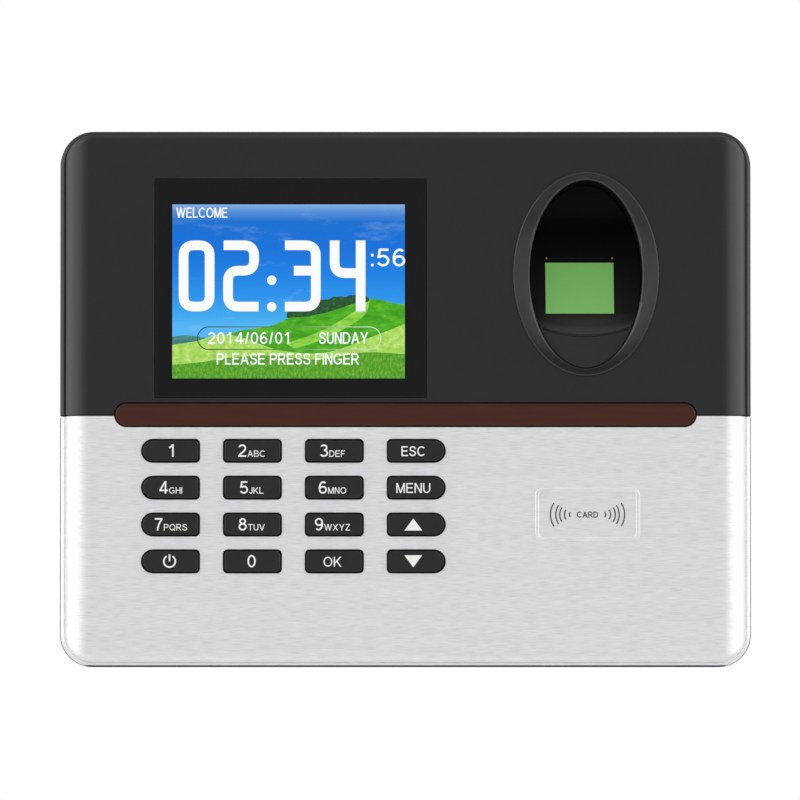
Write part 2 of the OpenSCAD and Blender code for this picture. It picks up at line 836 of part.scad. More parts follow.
module at_key(col, row) {
    translate([key_first[0] + col * key_pitch_x, 0, key_first[1] - row * key_pitch_z])
        children();
}

// Outline of a key grown by g: the outer columns have a fully round outer end
module key_outline(col, g) {
    w = key_w + 2 * g;
    h = key_h + 2 * g;
    r_left = col == 0 ? h / 2 : key_r + g / 2;
    r_right = col == 3 ? h / 2 : key_r + g / 2;
    translate([r_left - w / 2, -h / 2]) square([w - r_left - r_right, h]);
    key_end(w, h, r_right);
    mirror([1, 0]) key_end(w, h, r_left);
}

module key_end(w, h, r) {
    if (2 * r < h) translate([w / 2 - r, r - h / 2]) square([r, h - 2 * r]);
    for (sz = [-1, 1]) translate([w / 2 - r, sz * (h / 2 - r)]) circle(r);
}

module key(col, row) color([0.22, 0.22, 0.23]) {
    at_key(col, row) {
        slab(key_flange_d - eps, body_d + key_proud) key_outline(col, 0);
        slab(key_back, key_flange_d) key_outline(col, key_flange);
    }
}

module keypad_mat() color([0.5, 0.5, 0.5]) {
    difference() {
        union() {
            block(mat_x, mat_z, [mat_back, mat_front]);
            for (col = [0 : 3], row = [0 : 3]) at_key(col, row)
                translate([0, -mat_front + eps, 0]) rotate([90, 0, 0])
                    cylinder(r1 = dome_r[0], r2 = dome_r[1], h = key_back - mat_front);
        }
        for (col = [0 : 3], row = [0 : 3]) at_key(col, row)
            rod([0, 0], contact_r, mat_back - 1, mat_front + pressed_dome - clear);
        for (p = PAD_POSTS) rod(p, mat_hole_r, mat_back - 1, mat_front + 1);
    }
}

module keypad_board() color([0.1, 0.35, 0.2]) {
    difference() {
        block(pad_board_x, pad_board_z, [pad_board_back, mat_back]);
        for (p = PAD_POSTS) rod(p, small_clear_r, pad_board_back - 1, mat_back + 1);
    }
}

module keypad_ribbon() color([0.85, 0.85, 0.8]) {
    side_profile(strip(PAD_RIBBON), pad_ribbon_x[0], pad_ribbon_x[1]);
}

module keypad_screws() color([0.75, 0.75, 0.76]) {
    for (p = PAD_POSTS) small_screw(p, pad_board_back, pad_screw_l);
}

// ---------- Card reader ----------

module card_board() color([0.1, 0.35, 0.2]) {
    difference() {
        translate([card_at[0], 0, card_at[1]]) slab(card_board_d[0], card_board_d[1])
            square(card_board_size, center = true);
        for (p = CARD_PEGS) rod(p, card_peg_r + clear, card_board_d[0] - 1, card_board_d[1] + 1);
    }
}

module coil_turn(smaller, r) {
    rounded(coil_size[0] - smaller, coil_size[1] - smaller, r);
}

// The printed antenna: nested rectangular turns
module card_coil() color([0.8, 0.5, 0.25]) {
    translate([card_at[0], 0, card_at[1]]) slab(card_board_d[1], card_board_d[1] + trace_t)
        for (k = [0 : coil_turns - 1]) difference() {
            coil_turn(2 * k * coil_pitch, coil_r);
            coil_turn(2 * k * coil_pitch + 2 * trace_w, coil_r - trace_w);
        }
}

// ---------- Electronics in the rear housing ----------

module main_board() color([0.1, 0.35, 0.2]) {
    difference() {
        slab(board_back, board_front) polygon(MAIN_OUTLINE);
        for (p = BOARD_POSTS) rod(p, small_clear_r, board_back - 1, board_front + 1);
    }
}

// Chips, connectors, a coin cell, a relay, a coil and capacitors soldered to the main board
module board_parts() color([0.15, 0.15, 0.16]) {
    for (p = FRONT_PARTS) block(p[0], p[1], [board_front, board_front + p[2]]);
    for (p = BACK_PARTS) block(p[0], p[1], [board_back - p[2], board_back]);
    rod(coin_cell_at, coin_cell_r, board_front, board_front + coin_cell_h);
    for (p = CAPACITORS) rod(p, capacitor_r, board_back - capacitor_h, board_back);
}

module board_screws() color([0.75, 0.75, 0.76]) {
    for (p = BOARD_POSTS) {
        rod(p, small_head_r, board_front, board_front + small_head_h);
        rod(p, small_screw_r, board_front - board_screw_l, board_front + eps);
    }
}

module lan_socket() color([0.75, 0.76, 0.78]) {
    mid = (lan_x[0] + lan_x[1]) / 2;
    port_z = [bay_z[1] - 1, bay_z[1] + lan_port_l];
    difference() {
        block(lan_x, [bay_z[1], bay_z[1] + lan_l], [lan_back, board_back]);
        block([mid - lan_port_w / 2, mid + lan_port_w / 2], port_z,
              [lan_back + lan_port_d[0], board_back - lan_port_d[1]]);
        block([mid - lan_latch_w / 2, mid + lan_latch_w / 2], port_z,
              [lan_back + lan_latch_d[0], lan_back + lan_latch_d[1]]);
    }
}

module dc_jack() color([0.1, 0.1, 0.1]) {
    mid = [(jack_x[0] + jack_x[1]) / 2, -(jack_back + board_back) / 2];
    difference() {
        block(jack_x, [bay_z[1], bay_z[1] + jack_l], [jack_back, board_back]);
        translate([mid[0], mid[1], bay_z[1] - 1]) cylinder(r = jack_bore_r, h = jack_bore_l + 1);
    }
    translate([mid[0], mid[1], bay_z[1] + 1]) cylinder(r = jack_pin_r, h = jack_bore_l);
}

module terminal_block() color([0.15, 0.45, 0.25]) {
    pitch = (block_x[1] - block_x[0]) / wire_ways;
    difference() {
        block(block_x, [bay_z[1], bay_z[1] + block_l], [block_back, board_back]);
        for (i = [0 : wire_ways - 1]) {
            x = block_x[0] + (i + 0.5) * pitch;
            block([x - wire_hole_w / 2, x + wire_hole_w / 2],
                  [bay_z[1] - 1, bay_z[1] + wire_hole_l],
                  [board_back - wire_hole_d[0], board_back - wire_hole_d[1]]);
            rod([x, bay_z[1] + clamp_z], clamp_r, block_back - 1, block_back + clamp_l);
        }
    }
}

module usb_socket() color([0.75, 0.76, 0.78]) {
    mid = (usb_x[0] + usb_x[1]) / 2;
    foot = -house_h / 2;
    difference() {
        block(usb_x, [foot, foot + usb_l], [usb_back, board_back]);
        block([mid - usb_port_w / 2, mid + usb_port_w / 2], [foot - 1, foot + usb_port_l],
              [usb_back + usb_shell[0], board_back - usb_shell[1]]);
    }
    block([mid - usb_tongue_w / 2, mid + usb_tongue_w / 2],
          [foot + usb_tongue_z[0], foot + usb_tongue_z[1]],
          [board_back - usb_tongue_d[0], board_back - usb_tongue_d[1]]);
}

module speaker_frame() color([0.3, 0.3, 0.32]) {
    translate([speaker_at[0], -web_front, speaker_at[1]]) rotate([90, 0, 0]) {
        difference() {
            cylinder(r = speaker_r, h = speaker_h);
            translate([0, 0, -1]) cylinder(r = speaker_r - speaker_rim, h = speaker_h + 0.2);
        }
        translate([0, 0, speaker_h - clear]) cylinder(r = magnet_r, h = magnet_h);
    }
}

module speaker_cone() color([0.1, 0.1, 0.1]) {
    translate([speaker_at[0], -web_front, speaker_at[1]]) rotate([90, 0, 0])
        rotate_extrude()
            polygon([[0, cone_low], [cone_cap_r, cone_low], [cone_r, 0.6], [cone_r, 1],
                     [cone_cap_r, cone_high], [0, cone_high]]);
}

module battery_pack() color([0.15, 0.35, 0.7]) {
    translate([battery_at[0], 0, battery_at[1]]) slab(web_front, web_front + battery_t)
        rounded(battery_size[0], battery_size[1], battery_r);
}

// ---------- Tamper switch ----------

module tamper_switch() color([0.12, 0.12, 0.12]) {
    block([tamper_at[0] - switch_w / 2, tamper_at[0] + switch_w / 2],
          [tamper_at[1] - switch_w / 2, tamper_at[1] + switch_w / 2],
          [plunger_end + switch_gap, board_back]);
}

// The space that the plunger's coil spring takes up
module tamper_spring() color([0.8, 0.8, 0.8]) {
    difference() {
        rod(tamper_at, spring_r[1], plunger_collar_d[1], plunger_end + switch_gap);
        rod(tamper_at, spring_r[0], plunger_collar_d[1] - 1, plunger_end + switch_gap + 1);
    }
}

module tamper_plunger() color([0.9, 0.9, 0.9]) {
    rod(tamper_at, plunger_r, plunger_tip, plunger_end);
    rod(tamper_at, plunger_collar_r, plunger_collar_d[0], plunger_collar_d[1]);
}

// ---------- Wall plate ----------

module wall_plate() color([0.7, 0.71, 0.73]) {
    difference() {
        union() {
            slab(0, plate_t) union() {
                rounded(plate_w, plate_h, plate_r);
                translate([-tongue_w / 2, tongue_z])
                    square([tongue_w, -plate_h / 2 + 2 * plate_r - tongue_z]);
            }
            block([-tongue_w / 2, tongue_w / 2], [tongue_z, tongue_z + plate_t], [0, foot_out]);
            for (h = HOOKS) {
                block([h[0] - hook_w / 2, h[0] + hook_w / 2], [h[1], h[1] + hook_neck],
                      [0, hook_out]);
                block([h[0] - hook_w / 2, h[0] + hook_w / 2], [h[1], h[1] + hook_leg],
                      [hook_out - plate_t, hook_out]);
            }
        }
        for (sx = [-1, 1], sz = [-1, 1])
            rod([sx * mount_w / 2, sz * mount_h / 2], mount_hole_d / 2, -1, plate_t + 1);
        translate([cable_at[0], 0, cable_at[1]]) slab(-1, plate_t + 1)
            rounded(cable_w, cable_h, cable_r);
        for (h = HOOKS)
            block([h[0] - hook_w / 2 - slot_clear, h[0] + hook_w / 2 + slot_clear],
                  [h[1] + hook_neck, h[1] + hook_neck + hook_window], [-1, plate_t + eps]);
        translate([0, -lock_d, tongue_z - 1]) cylinder(r = lock_r + 0.1, h = plate_t + 2);
    }
}

module lock_screw() color([0.8, 0.8, 0.82]) {
    translate([0, -lock_d, 0]) {
        translate([0, 0, tongue_z - lock_head_h]) difference() {
            cylinder(r = lock_head_r, h = lock_head_h);
            translate([0, 0, -1]) cylinder(r = lock_key_r, h = 2, $fn = 6);
        }
        translate([0, 0, tongue_z - eps]) cylinder(r = lock_r, h = lock_l);
    }
}

// ---------- Assembly ----------

upper_cover();
lower_cover();
rear_housing();
cover_screws();
light_bar();
light_board();
light_leds();
screen_lens();
lens_tape();
lcd_gasket();
lcd_glass();
lcd_backlight();
lcd_frame();
lcd_bracket();
lcd_ribbon();
finger_bezel();
finger_well();
sensor_prism();
sensor_case();
sensor_camera();
sensor_leds();
sensor_board();
module_screws();
keypad_mat();
keypad_board();
keypad_ribbon();
keypad_screws();
card_board();
card_coil();
main_board();
board_parts();
board_screws();
lan_socket();
usb_socket();
dc_jack();
terminal_block();
speaker_frame();
speaker_cone();
battery_pack();
tamper_switch();
tamper_spring();
tamper_plunger();
wall_plate();
lock_screw();
for (col = [0 : 3], row = [0 : 3])
    key(col, row);
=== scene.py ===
"""Looks of a wall-mounted fingerprint and card terminal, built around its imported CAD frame.

Sizes are in millimetres. A front-view point is (x, z), and a depth d runs from the wall towards
the viewer, so that Blender's y is -d. Every piece rides on the body of the CAD node it stands for.
"""
import json
import math
from collections import namedtuple

import bmesh
import bpy
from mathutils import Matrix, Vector
from mathutils.geometry import delaunay_2d_cdt


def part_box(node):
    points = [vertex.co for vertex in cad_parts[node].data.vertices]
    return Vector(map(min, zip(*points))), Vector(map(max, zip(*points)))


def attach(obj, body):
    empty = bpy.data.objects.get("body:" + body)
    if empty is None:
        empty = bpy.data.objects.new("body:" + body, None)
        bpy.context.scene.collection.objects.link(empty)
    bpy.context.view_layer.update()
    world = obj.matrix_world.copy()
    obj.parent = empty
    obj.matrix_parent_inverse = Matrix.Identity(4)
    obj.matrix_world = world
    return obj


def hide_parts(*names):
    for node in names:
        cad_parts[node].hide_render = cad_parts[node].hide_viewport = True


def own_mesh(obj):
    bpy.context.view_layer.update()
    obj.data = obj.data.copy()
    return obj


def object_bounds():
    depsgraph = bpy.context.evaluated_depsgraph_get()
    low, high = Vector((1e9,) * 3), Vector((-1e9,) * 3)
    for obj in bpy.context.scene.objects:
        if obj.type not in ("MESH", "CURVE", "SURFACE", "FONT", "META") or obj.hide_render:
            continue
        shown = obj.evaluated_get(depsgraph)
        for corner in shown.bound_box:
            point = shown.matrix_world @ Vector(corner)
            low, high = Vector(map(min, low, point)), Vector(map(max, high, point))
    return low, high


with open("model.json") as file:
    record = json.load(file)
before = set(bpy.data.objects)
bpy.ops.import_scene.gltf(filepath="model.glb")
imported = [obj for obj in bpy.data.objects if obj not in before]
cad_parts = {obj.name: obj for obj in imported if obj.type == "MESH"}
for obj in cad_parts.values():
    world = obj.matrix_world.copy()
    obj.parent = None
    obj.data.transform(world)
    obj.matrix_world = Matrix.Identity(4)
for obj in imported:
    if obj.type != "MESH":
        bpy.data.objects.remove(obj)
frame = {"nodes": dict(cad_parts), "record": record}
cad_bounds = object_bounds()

MM = 0.001
HAIR = 0.01
Box = namedtuple("Box", "x0 x1 z0 z1 d0 d1")
BODY_OF = {node: body for body, nodes in frame["record"]["behaviour"]["bodies"].items()
           for node in nodes}
SLOT_OF = {row["node"]: row["material_slot"] for row in frame["record"]["subparts"]}


def at(x, z, d):
    """The Blender point of a front-view point and its depth."""
    return Vector((x * MM, -d * MM, z * MM))


def cad(node):
    """The box of a CAD node in millimetres."""
    low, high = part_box(node)
    return Box(low.x / MM, high.x / MM, low.z / MM, high.z / MM, -high.y / MM, -low.y / MM)


def middle(box):
    """The middle of a box as a front-view point."""
    return (box.x0 + box.x1) / 2, (box.z0 + box.z1) / 2


# ---------- The camera comes first ----------

CAMERA_AWAY = 2500
VIEW_W = 196.8
CAMERA_X = -1.35
CAMERA_Z = -0.5
CAMERA_DROP = 87


def make_camera():
    """A long lens in front of the face, which looks up at it by two degrees."""
    data = bpy.data.cameras.new("camera")
    data.sensor_width = 36
    data.lens = data.sensor_width * CAMERA_AWAY / VIEW_W
    data.clip_start = 0.1
    data.clip_end = 50
    camera = bpy.data.objects.new("camera", data)
    front = -cad_bounds[0].y / MM
    camera.location = at(CAMERA_X, CAMERA_Z - CAMERA_DROP, front + CAMERA_AWAY)
    view = at(CAMERA_X, CAMERA_Z, front) - camera.location
    camera.rotation_euler = view.to_track_quat("-Z", "Y").to_euler()
    bpy.context.scene.collection.objects.link(camera)
    bpy.context.scene.camera = camera


make_camera()

# ---------- Places and sizes that come from the frame ----------

UPPER = cad("upper_cover")
LOWER = cad("lower_cover")
LENS = cad("screen_lens")
BAR = cad("light_bar")
BEZEL = cad("finger_bezel")
CARD = cad("card_board")

FACE = UPPER.d1
SPLIT = UPPER.d0
SEAM_TOP = UPPER.z0
SEAM_BOTTOM = LOWER.z1
BODY_W = UPPER.x1 - UPPER.x0
BODY_H = UPPER.z1 - LOWER.z0
CORNER_R = 8
FACE_INSET = 1.1
RIM_W = 1.2
GROOVE_W = 0.16
GROOVE_DEEP = 0.12
BEAD_DROP = 1.3
WALL_STEP = 0.4
# Height of the band along the lower cover's bottom edge that is painted dark as the shade of its
# underside
PAINTED_SHADE_BAND = 0.3
PAINT_DEEP = 0.15
TONGUE_DEEP = 0.5
TONGUE_T = 0.8
SIDE_ROLL = 6
EDGE_ROLL = 1.2
WALL = 2
RIM = FACE - SIDE_ROLL
INSIDE = FACE - WALL
FACE_W = BODY_W - 2 * FACE_INSET
FACE_H = BODY_H - 2 * FACE_INSET
FACE_R = CORNER_R - FACE_INSET
ROLL_FROM = FACE_W / 2 - SIDE_ROLL
BARE_BEHIND = RIM - BEAD_DROP - 0.1


# ---------- Outlines ----------

def bow(x, z, a, b, start, end, steps=None):
    """Points on part of an ellipse, with its two ends, in degrees."""
    steps = steps or max(6, round(abs(end - start) / 9))
    turns = [math.radians(start + (end - start) * i / steps) for i in range(steps + 1)]
    return [(x + a * math.cos(t), z + b * math.sin(t)) for t in turns]


def rounded(centre, w, h, r, r_right=None, steps=12):
    """A rectangle with rounded corners; the right-hand ones may have their own radius."""
    points = []
    for sx, sz, start in ((1, -1, -90), (1, 1, 0), (-1, 1, 90), (-1, -1, 180)):
        radius = r if sx < 0 or r_right is None else r_right
        corner = (centre[0] + sx * (w / 2 - radius), centre[1] + sz * (h / 2 - radius))
        if radius > 0:
            points += bow(*corner, radius, radius, start, start + 90, steps)
        else:
            points.append(corner)
    return points


def ellipse(centre, a, b, steps=128):
    """A closed ellipse, without a doubled end."""
    turn = 2 * math.pi / steps
    return [(centre[0] + a * math.cos(i * turn), centre[1] + b * math.sin(i * turn))
            for i in range(steps)]


def inside(point, outline):
    """True where a front-view point lies in a closed outline."""
    odd = False
    x, z = point
    for i, (x1, z1) in enumerate(outline):
        x0, z0 = outline[i - 1]
        if (z0 > z) != (z1 > z) and x < (x1 - x0) * (z - z0) / (z1 - z0) + x0:
            odd = not odd
    return odd


def reach(outline):
    """The extent of an outline: lowest and highest x, lowest and highest z."""
    xs, zs = zip(*outline)
    return min(xs), max(xs), min(zs), max(zs)


def rounding(r, steps):
    """Insets and drops of a quarter round edge, from its upright foot to its flat top."""
    turns = [math.pi / 2 * i / steps for i in range(steps + 1)]
    return [(r * (1 - math.cos(a)), r * (1 - math.sin(a))) for a in turns]


# ---------- Solids built ring by ring ----------

class Solid:
    """A closed mesh made of rings of front-view points, each ring at its own depth."""

    def __init__(self):
        self.bm = bmesh.new()

    def ring(self, outline, depth):
        """New points along an outline, at one depth or at depth(x, z)."""
        lift = depth if callable(depth) else lambda x, z: depth
        return [self.bm.verts.new(at(x, z, lift(x, z))) for x, z in outline]

    def join(self, a, b):
        """A band of faces between two rings of as many points."""
        for i in range(len(a)):
            j = (i + 1) % len(a)
            self.bm.faces.new((a[i], a[j], b[j], b[i]))

    def stack(self, steps, closed=False):
        """Joins a list of (outline, depth) rings and gives the first and the last."""
        rings = [self.ring(outline, depth) for outline, depth in steps]
        for a, b in zip(rings, rings[1:]):
            self.join(a, b)
        if closed:
            self.join(rings[-1], rings[0])
        return rings[0], rings[-1]

    def block(self, steps):
        """Joins a list of (outline, depth) rings and closes both ends."""
        for end in self.stack(steps):
            self.fill(end)

    def loft(self, rings):
        """Joins rings of points that lie in any direction, and closes both ends."""
        for a, b in zip(rings, rings[1:]):
            self.join(a, b)
        self.bm.faces.new(rings[0])
        self.bm.faces.new(rings[-1])

    def fill(self, outer, holes=(), lines=(), depth=None):
        """Closes the area between a ring and the rings in it, through the points of lines."""
        verts, edges, outlines = [], [], []
        for ring in (outer, *holes):
            start = len(verts)
            verts += ring
            edges += [(start + i, start + (i + 1) % len(ring)) for i in range(len(ring))]
            outlines.append([(v.co.x / MM, v.co.z / MM) for v in ring])
        flat = [Vector(p) for outline in outlines for p in outline]
        for line in lines:
            start = len(flat)
            flat += [Vector(p) for p in line]
            edges += [(start + i, start + i + 1) for i in range(len(line) - 1)]
        points, _, triangles, sources, _, _ = delaunay_2d_cdt(flat, edges, [], 0, 1e-4)
        made = []
        for point, source in zip(points, sources):
            known = [i for i in source if i < len(verts)]
            made.append(verts[known[0]] if known else
                        self.bm.verts.new(at(point.x, point.y, depth(point.x, point.y))))
        extents = [reach(outline) for outline in outlines]
        for triangle in triangles:
            x, z = sum((points[i] for i in triangle), Vector((0, 0))) / 3
            hit = [inside((x, z), outline) for outline, e in zip(outlines, extents)
                   if e[0] < x < e[1] and e[2] < z < e[3]]
            if sum(hit) == 1 and inside((x, z), outlines[0]):
                self.bm.faces.new([made[i] for i in triangle])

    def flat(self, outlines, d0, d1):
        """A flat piece that has the shape of all the outlines together."""
        flat, edges = [], []
        for outline in outlines:
            start = len(flat)
            flat += [Vector(p) for p in outline]
            edges += [(start + i, start + (i + 1) % len(outline)) for i in range(len(outline))]
        points, _, triangles, _, _, _ = delaunay_2d_cdt(flat, edges, [], 0, 1e-5)
        extents = [reach(outline) for outline in outlines]
        kept = []
        for triangle in triangles:
            x, z = sum((points[i] for i in triangle), Vector((0, 0))) / 3
            if any(e[0] < x < e[1] and e[2] < z < e[3] and inside((x, z), outline)
                   for outline, e in zip(outlines, extents)):
                kept.append(triangle)
        used = {i for triangle in kept for i in triangle}
        front = {i: self.bm.verts.new(at(*points[i], d1)) for i in sorted(used)}
        back = {i: self.bm.verts.new(at(*points[i], d0)) for i in sorted(used)}
        sides = {}
        for a, b, c in kept:
            self.bm.faces.new((front[a], front[b], front[c]))
            self.bm.faces.new((back[c], back[b], back[a]))
            for i, j in ((a, b), (b, c), (c, a)):
                if (j, i) in sides:
                    del sides[j, i]
                else:
                    sides[i, j] = True
        for i, j in sides:
            self.bm.faces.new((front[i], back[i], back[j], front[j]))

    def plate(self, outline_at, d0, d1, edge, steps=3, back_edge=0):
        """A flat plate whose front edge is rounded. outline_at(s) is its outline inset by s."""
        rings = [(outline_at(back_edge), d0)]
        if back_edge:
            rings.append((outline_at(0), d0 + back_edge))
        rings += [(outline_at(inset), d1 - drop) for inset, drop in rounding(edge, steps)]
        self.block(rings)

    def rod(self, centre, r, d0, d1, edge=0.15, steps=32):
        """A round rod with rounded ends."""
        self.plate(lambda s: ellipse(centre, r - s, r - s, steps), d0, d1, edge, 2, edge)

    def tube(self, centre, r, bore, d0, d1, steps=32):
        """A round post with a bore right through it."""
        outer, inner = ellipse(centre, r, r, steps), ellipse(centre, bore, bore, steps)
        self.stack([(outer, d0), (outer, d1), (inner, d1), (inner, d0)], closed=True)

    def cut(self, z, keep_above):
        """Cuts the solid at height z, keeps one side and closes the cut."""
        bm = self.bm
        geometry = [*bm.verts, *bm.edges, *bm.faces]
        bmesh.ops.bisect_plane(bm, geom=geometry, dist=1e-8, plane_co=at(0, z, 0),
                               plane_no=(0, 0, 1), clear_inner=keep_above,
                               clear_outer=not keep_above)
        open_edges = [e for e in bm.edges if e.is_boundary]
        bmesh.ops.triangle_fill(bm, edges=open_edges, use_beauty=True)

    def piece(self, name, look, node, slot=None, stands_for=True, sharp=32, other=None):
        """Makes the Blender piece, on the body of a CAD node that it may stand for.

        other is a second look and the test, of a face's middle (x, z, d), for where it goes.
        """
        bmesh.ops.remove_doubles(self.bm, verts=self.bm.verts, dist=1e-8)
        bmesh.ops.recalc_face_normals(self.bm, faces=self.bm.faces)
        mesh = bpy.data.meshes.new(name)
        self.bm.to_mesh(mesh)
        self.bm.free()
        mesh.materials.append(look)
        if other:
            mesh.materials.append(other[0])
            for face in mesh.polygons:
                x, y, z = face.center / MM
                face.material_index = int(other[1](x, z, -y))
        mesh.shade_smooth()
        mesh.set_sharp_from_angle(angle=math.radians(sharp))
        piece = bpy.data.objects.new(name, mesh)
        bpy.context.scene.collection.objects.link(piece)
        piece.modifiers.new("even_shading", "WEIGHTED_NORMAL").keep_sharp = True
        return place(piece, node, stands_for)


def place(piece, node, stands_for=False):
    """Rides a piece on a CAD node's body, and hides the CAD node if the piece stands for it."""
    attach(piece, BODY_OF[node])
    if stands_for:
        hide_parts(node)
    return piece


# ---------- Materials ----------

def srgb(r, g, b):
    """Linear colour of an 8-bit screen colour."""
    return tuple((c / 255 / 12.92) if c <= 10 else ((c / 255 + 0.055) / 1.055) ** 2.4
                 for c in (r, g, b))


def scaled(colour, k):
    """A colour k times as bright."""
    return tuple(c * k for c in colour)


class Nodes:
    """A shader tree, with the few steps that the looks and the world are made of."""

    def __init__(self, tree):
        self.tree = tree

    def node(self, kind, **settings):
        """A new node with some of its settings."""
        made = self.tree.nodes.new("ShaderNode" + kind)
        for key, value in settings.items():
            setattr(made, key, value)
        return made

    def link(self, output, target):
        """Leads an output into an input."""
        self.tree.links.new(output, target)

    def ramp(self, factor, *stops):
        """A colour ramp with (position, colour) stops."""
        ramp = self.node("ValToRGB")
        elements = ramp.color_ramp.elements
        while len(elements) < len(stops):
            elements.new(0.5)
        for element, (position, colour) in zip(elements, stops):
            element.position = position
            element.color = (*colour, 1)
        self.link(factor, ramp.inputs["Fac"])
        return ramp.outputs["Color"]

    def to_range(self, factor, low, high, from_low=0.3, from_high=0.7):
        """Stretches an output so that from_low and from_high become low and high."""
        node = self.node("MapRange")
        node.inputs["From Min"].default_value = from_low
        node.inputs["From Max"].default_value = from_high
        node.inputs["To Min"].default_value = low
        node.inputs["To Max"].default_value = high
        self.link(factor, node.inputs["Value"])
        return node.outputs["Result"]

    def mix(self, factor, a, b, blend="MIX"):
        """Mixes two colour outputs or colours by a factor output or number."""
        node = self.node("Mix", data_type="RGBA", blend_type=blend)
        for value, target in ((factor, node.inputs[0]), (a, node.inputs[6]), (b, node.inputs[7])):
            if isinstance(value, bpy.types.NodeSocket):
                self.link(value, target)
            else:
                target.default_value = value if isinstance(value, float) else (*value, 1)
        return node.outputs[2]


class Look(Nodes):
    """A procedural material round one Principled shader."""

    def __init__(self, name, colour, roughness, **sockets):
        self.material = bpy.data.materials.new(name)
        self.material.use_nodes = True
        super().__init__(self.material.node_tree)
        self.shader = self.tree.nodes["Principled BSDF"]
        self.shader.inputs["Base Color"].default_value = (*colour, 1)
        self.shader.inputs["Roughness"].default_value = roughness
        for socket, value in sockets.items():
            self.shader.inputs[socket.replace("_", " ")].default_value = value
        self.colour = colour
        self.roughness = roughness
        self.place = self.node("TexCoord").outputs["Object"]

    def feed(self, socket, output):
        """Leads an output into an input of the shader."""
        self.link(output, self.shader.inputs[socket])

    def grid(self, sizes):
        """Object coordinates in units of the three sizes, in mm along X, Y and Z."""
        mapping = self.node("Mapping")
        mapping.inputs["Scale"].default_value = [1 / (s * MM) for s in sizes]
        self.link(self.place, mapping.inputs["Vector"])
        return mapping.outputs["Vector"]

    def noise(self, size, detail=2.0, roughness=0.5):
        """Noise with grains of size mm, or of three sizes along X, Y and Z."""
        vector = self.grid(size if isinstance(size, tuple) else (size,) * 3)
        texture = self.node("TexNoise")
        texture.inputs["Scale"].default_value = 1
        texture.inputs["Detail"].default_value = detail
        texture.inputs["Roughness"].default_value = roughness
        self.link(vector, texture.inputs["Vector"])
        return texture.outputs["Fac"]

    def tint(self, factor, spread):
        """Varies the base colour by plus and minus spread."""
        colour = self.ramp(factor, (0.3, scaled(self.colour, 1 - spread)),
                           (0.7, scaled(self.colour, 1 + spread)))
        self.feed("Base Color", colour)
        return colour

    def gloss(self, factor, spread):
        """Varies the roughness by plus and minus spread."""
        self.feed("Roughness",
                  self.to_range(factor, self.roughness - spread, self.roughness + spread))

    def bump(self, height, deep, strength=1.0):
        """Relief of a height output, deep mm from low to high."""
        node = self.node("Bump")
        node.inputs["Strength"].default_value = strength
        node.inputs["Distance"].default_value = deep * MM
        self.link(height, node.inputs["Height"])
        self.feed("Normal", node.outputs["Normal"])

    def along(self, axis):
        """One object coordinate, in metres."""
        split = self.node("SeparateXYZ")
        self.link(self.place, split.inputs["Vector"])
        return split.outputs[axis]


def plastic(name, colour, roughness, grain=0.25, deep=0.006, spread=0.06, **sockets):
    """Moulded plastic with a fine grain and slightly uneven colour and gloss."""
    look = Look(name, colour, roughness, **sockets)
    fine = look.noise(grain, 3.0, 0.6)
    look.tint(look.noise((9.0, 9.0, 14.0), 4.0), spread)
    look.gloss(look.noise((3.0, 3.0, 2.0), 3.0), 0.03)
    look.bump(fine, deep)
    return look.material


def metal(name, colour, roughness, grain=(0.12, 0.12, 2.5), deep=0.003, spread=0.08):
    """Plated or drawn metal with fine lines along its grain and faint blotches."""
    look = Look(name, colour, roughness, Metallic=1.0)
    lines = look.noise(grain, 4.0, 0.6)
    look.tint(look.noise(4.0, 5.0, 0.6), spread)
    look.gloss(lines, 0.07)
    look.bump(lines, deep)
    return look.material


def brushed_silver():
    """Silver film with short, slightly uneven horizontal brush strokes."""
    look = Look("silver_brushed", (0.92, 0.92, 0.935), 0.36, Metallic=0.32)
    strokes = look.noise((3.6, 1.0, 0.19), 4.0, 0.62)
    patches = look.noise((24.0, 8.0, 1.6), 3.0, 0.5)
    fine = look.ramp(strokes, (0.34, scaled(look.colour, 0.89)), (0.5, look.colour),
                     (0.66, scaled(look.colour, 1.06)))
    broad = look.ramp(patches, (0.35, (0.97, 0.97, 0.97)), (0.65, (1.0, 1.0, 1.0)))
    look.feed("Base Color", look.mix(1.0, fine, broad, "MULTIPLY"))
    look.gloss(strokes, 0.06)
    look.bump(strokes, 0.004)
    return look.material


def satin_black():
    """The upper cover: satin black with a barely visible grain."""
    look = Look("cover_satin_black", (0.0132, 0.0132, 0.0143), 0.36)
    look.tint(look.noise((14.0, 14.0, 6.0), 4.0), 0.05)
    look.gloss(look.noise(0.5, 3.0), 0.035)
    look.bump(look.noise((0.3, 0.3, 0.2), 3.0, 0.6), 0.004)
    return look.material


def gloss_window():
    """The display's window: black acrylic, almost a mirror."""
    look = Look("window_gloss", (0.0014, 0.0014, 0.0015), 0.06, Coat_Weight=0.12,
                Coat_Roughness=0.03)
    look.tint(look.noise(20.0, 3.0), 0.08)
    look.gloss(look.noise(2.5, 4.0), 0.015)
    return look.material


def bar_acrylic():
    """The light bar's dark brown acrylic."""
    look = Look("bar_brown_acrylic", (0.064, 0.021, 0.0124), 0.22, Coat_Weight=0.2,
                Coat_Roughness=0.08, Specular_IOR_Level=0.2)
    look.tint(look.noise((12.0, 3.0, 1.2), 4.0), 0.07)
    look.gloss(look.noise(0.8, 3.0), 0.03)
    look.bump(look.noise(0.6, 2.0), 0.003)
    return look.material


def spark_texture():
    """The rear housing's coarser spark-eroded grain."""
    look = Look("housing_spark", (0.022, 0.022, 0.0235), 0.55)
    grain = look.noise(0.45, 4.0, 0.7)
    look.tint(look.noise(0.9, 3.0), 0.16)
    look.gloss(grain, 0.08)
    look.bump(grain, 0.03)
    return look.material


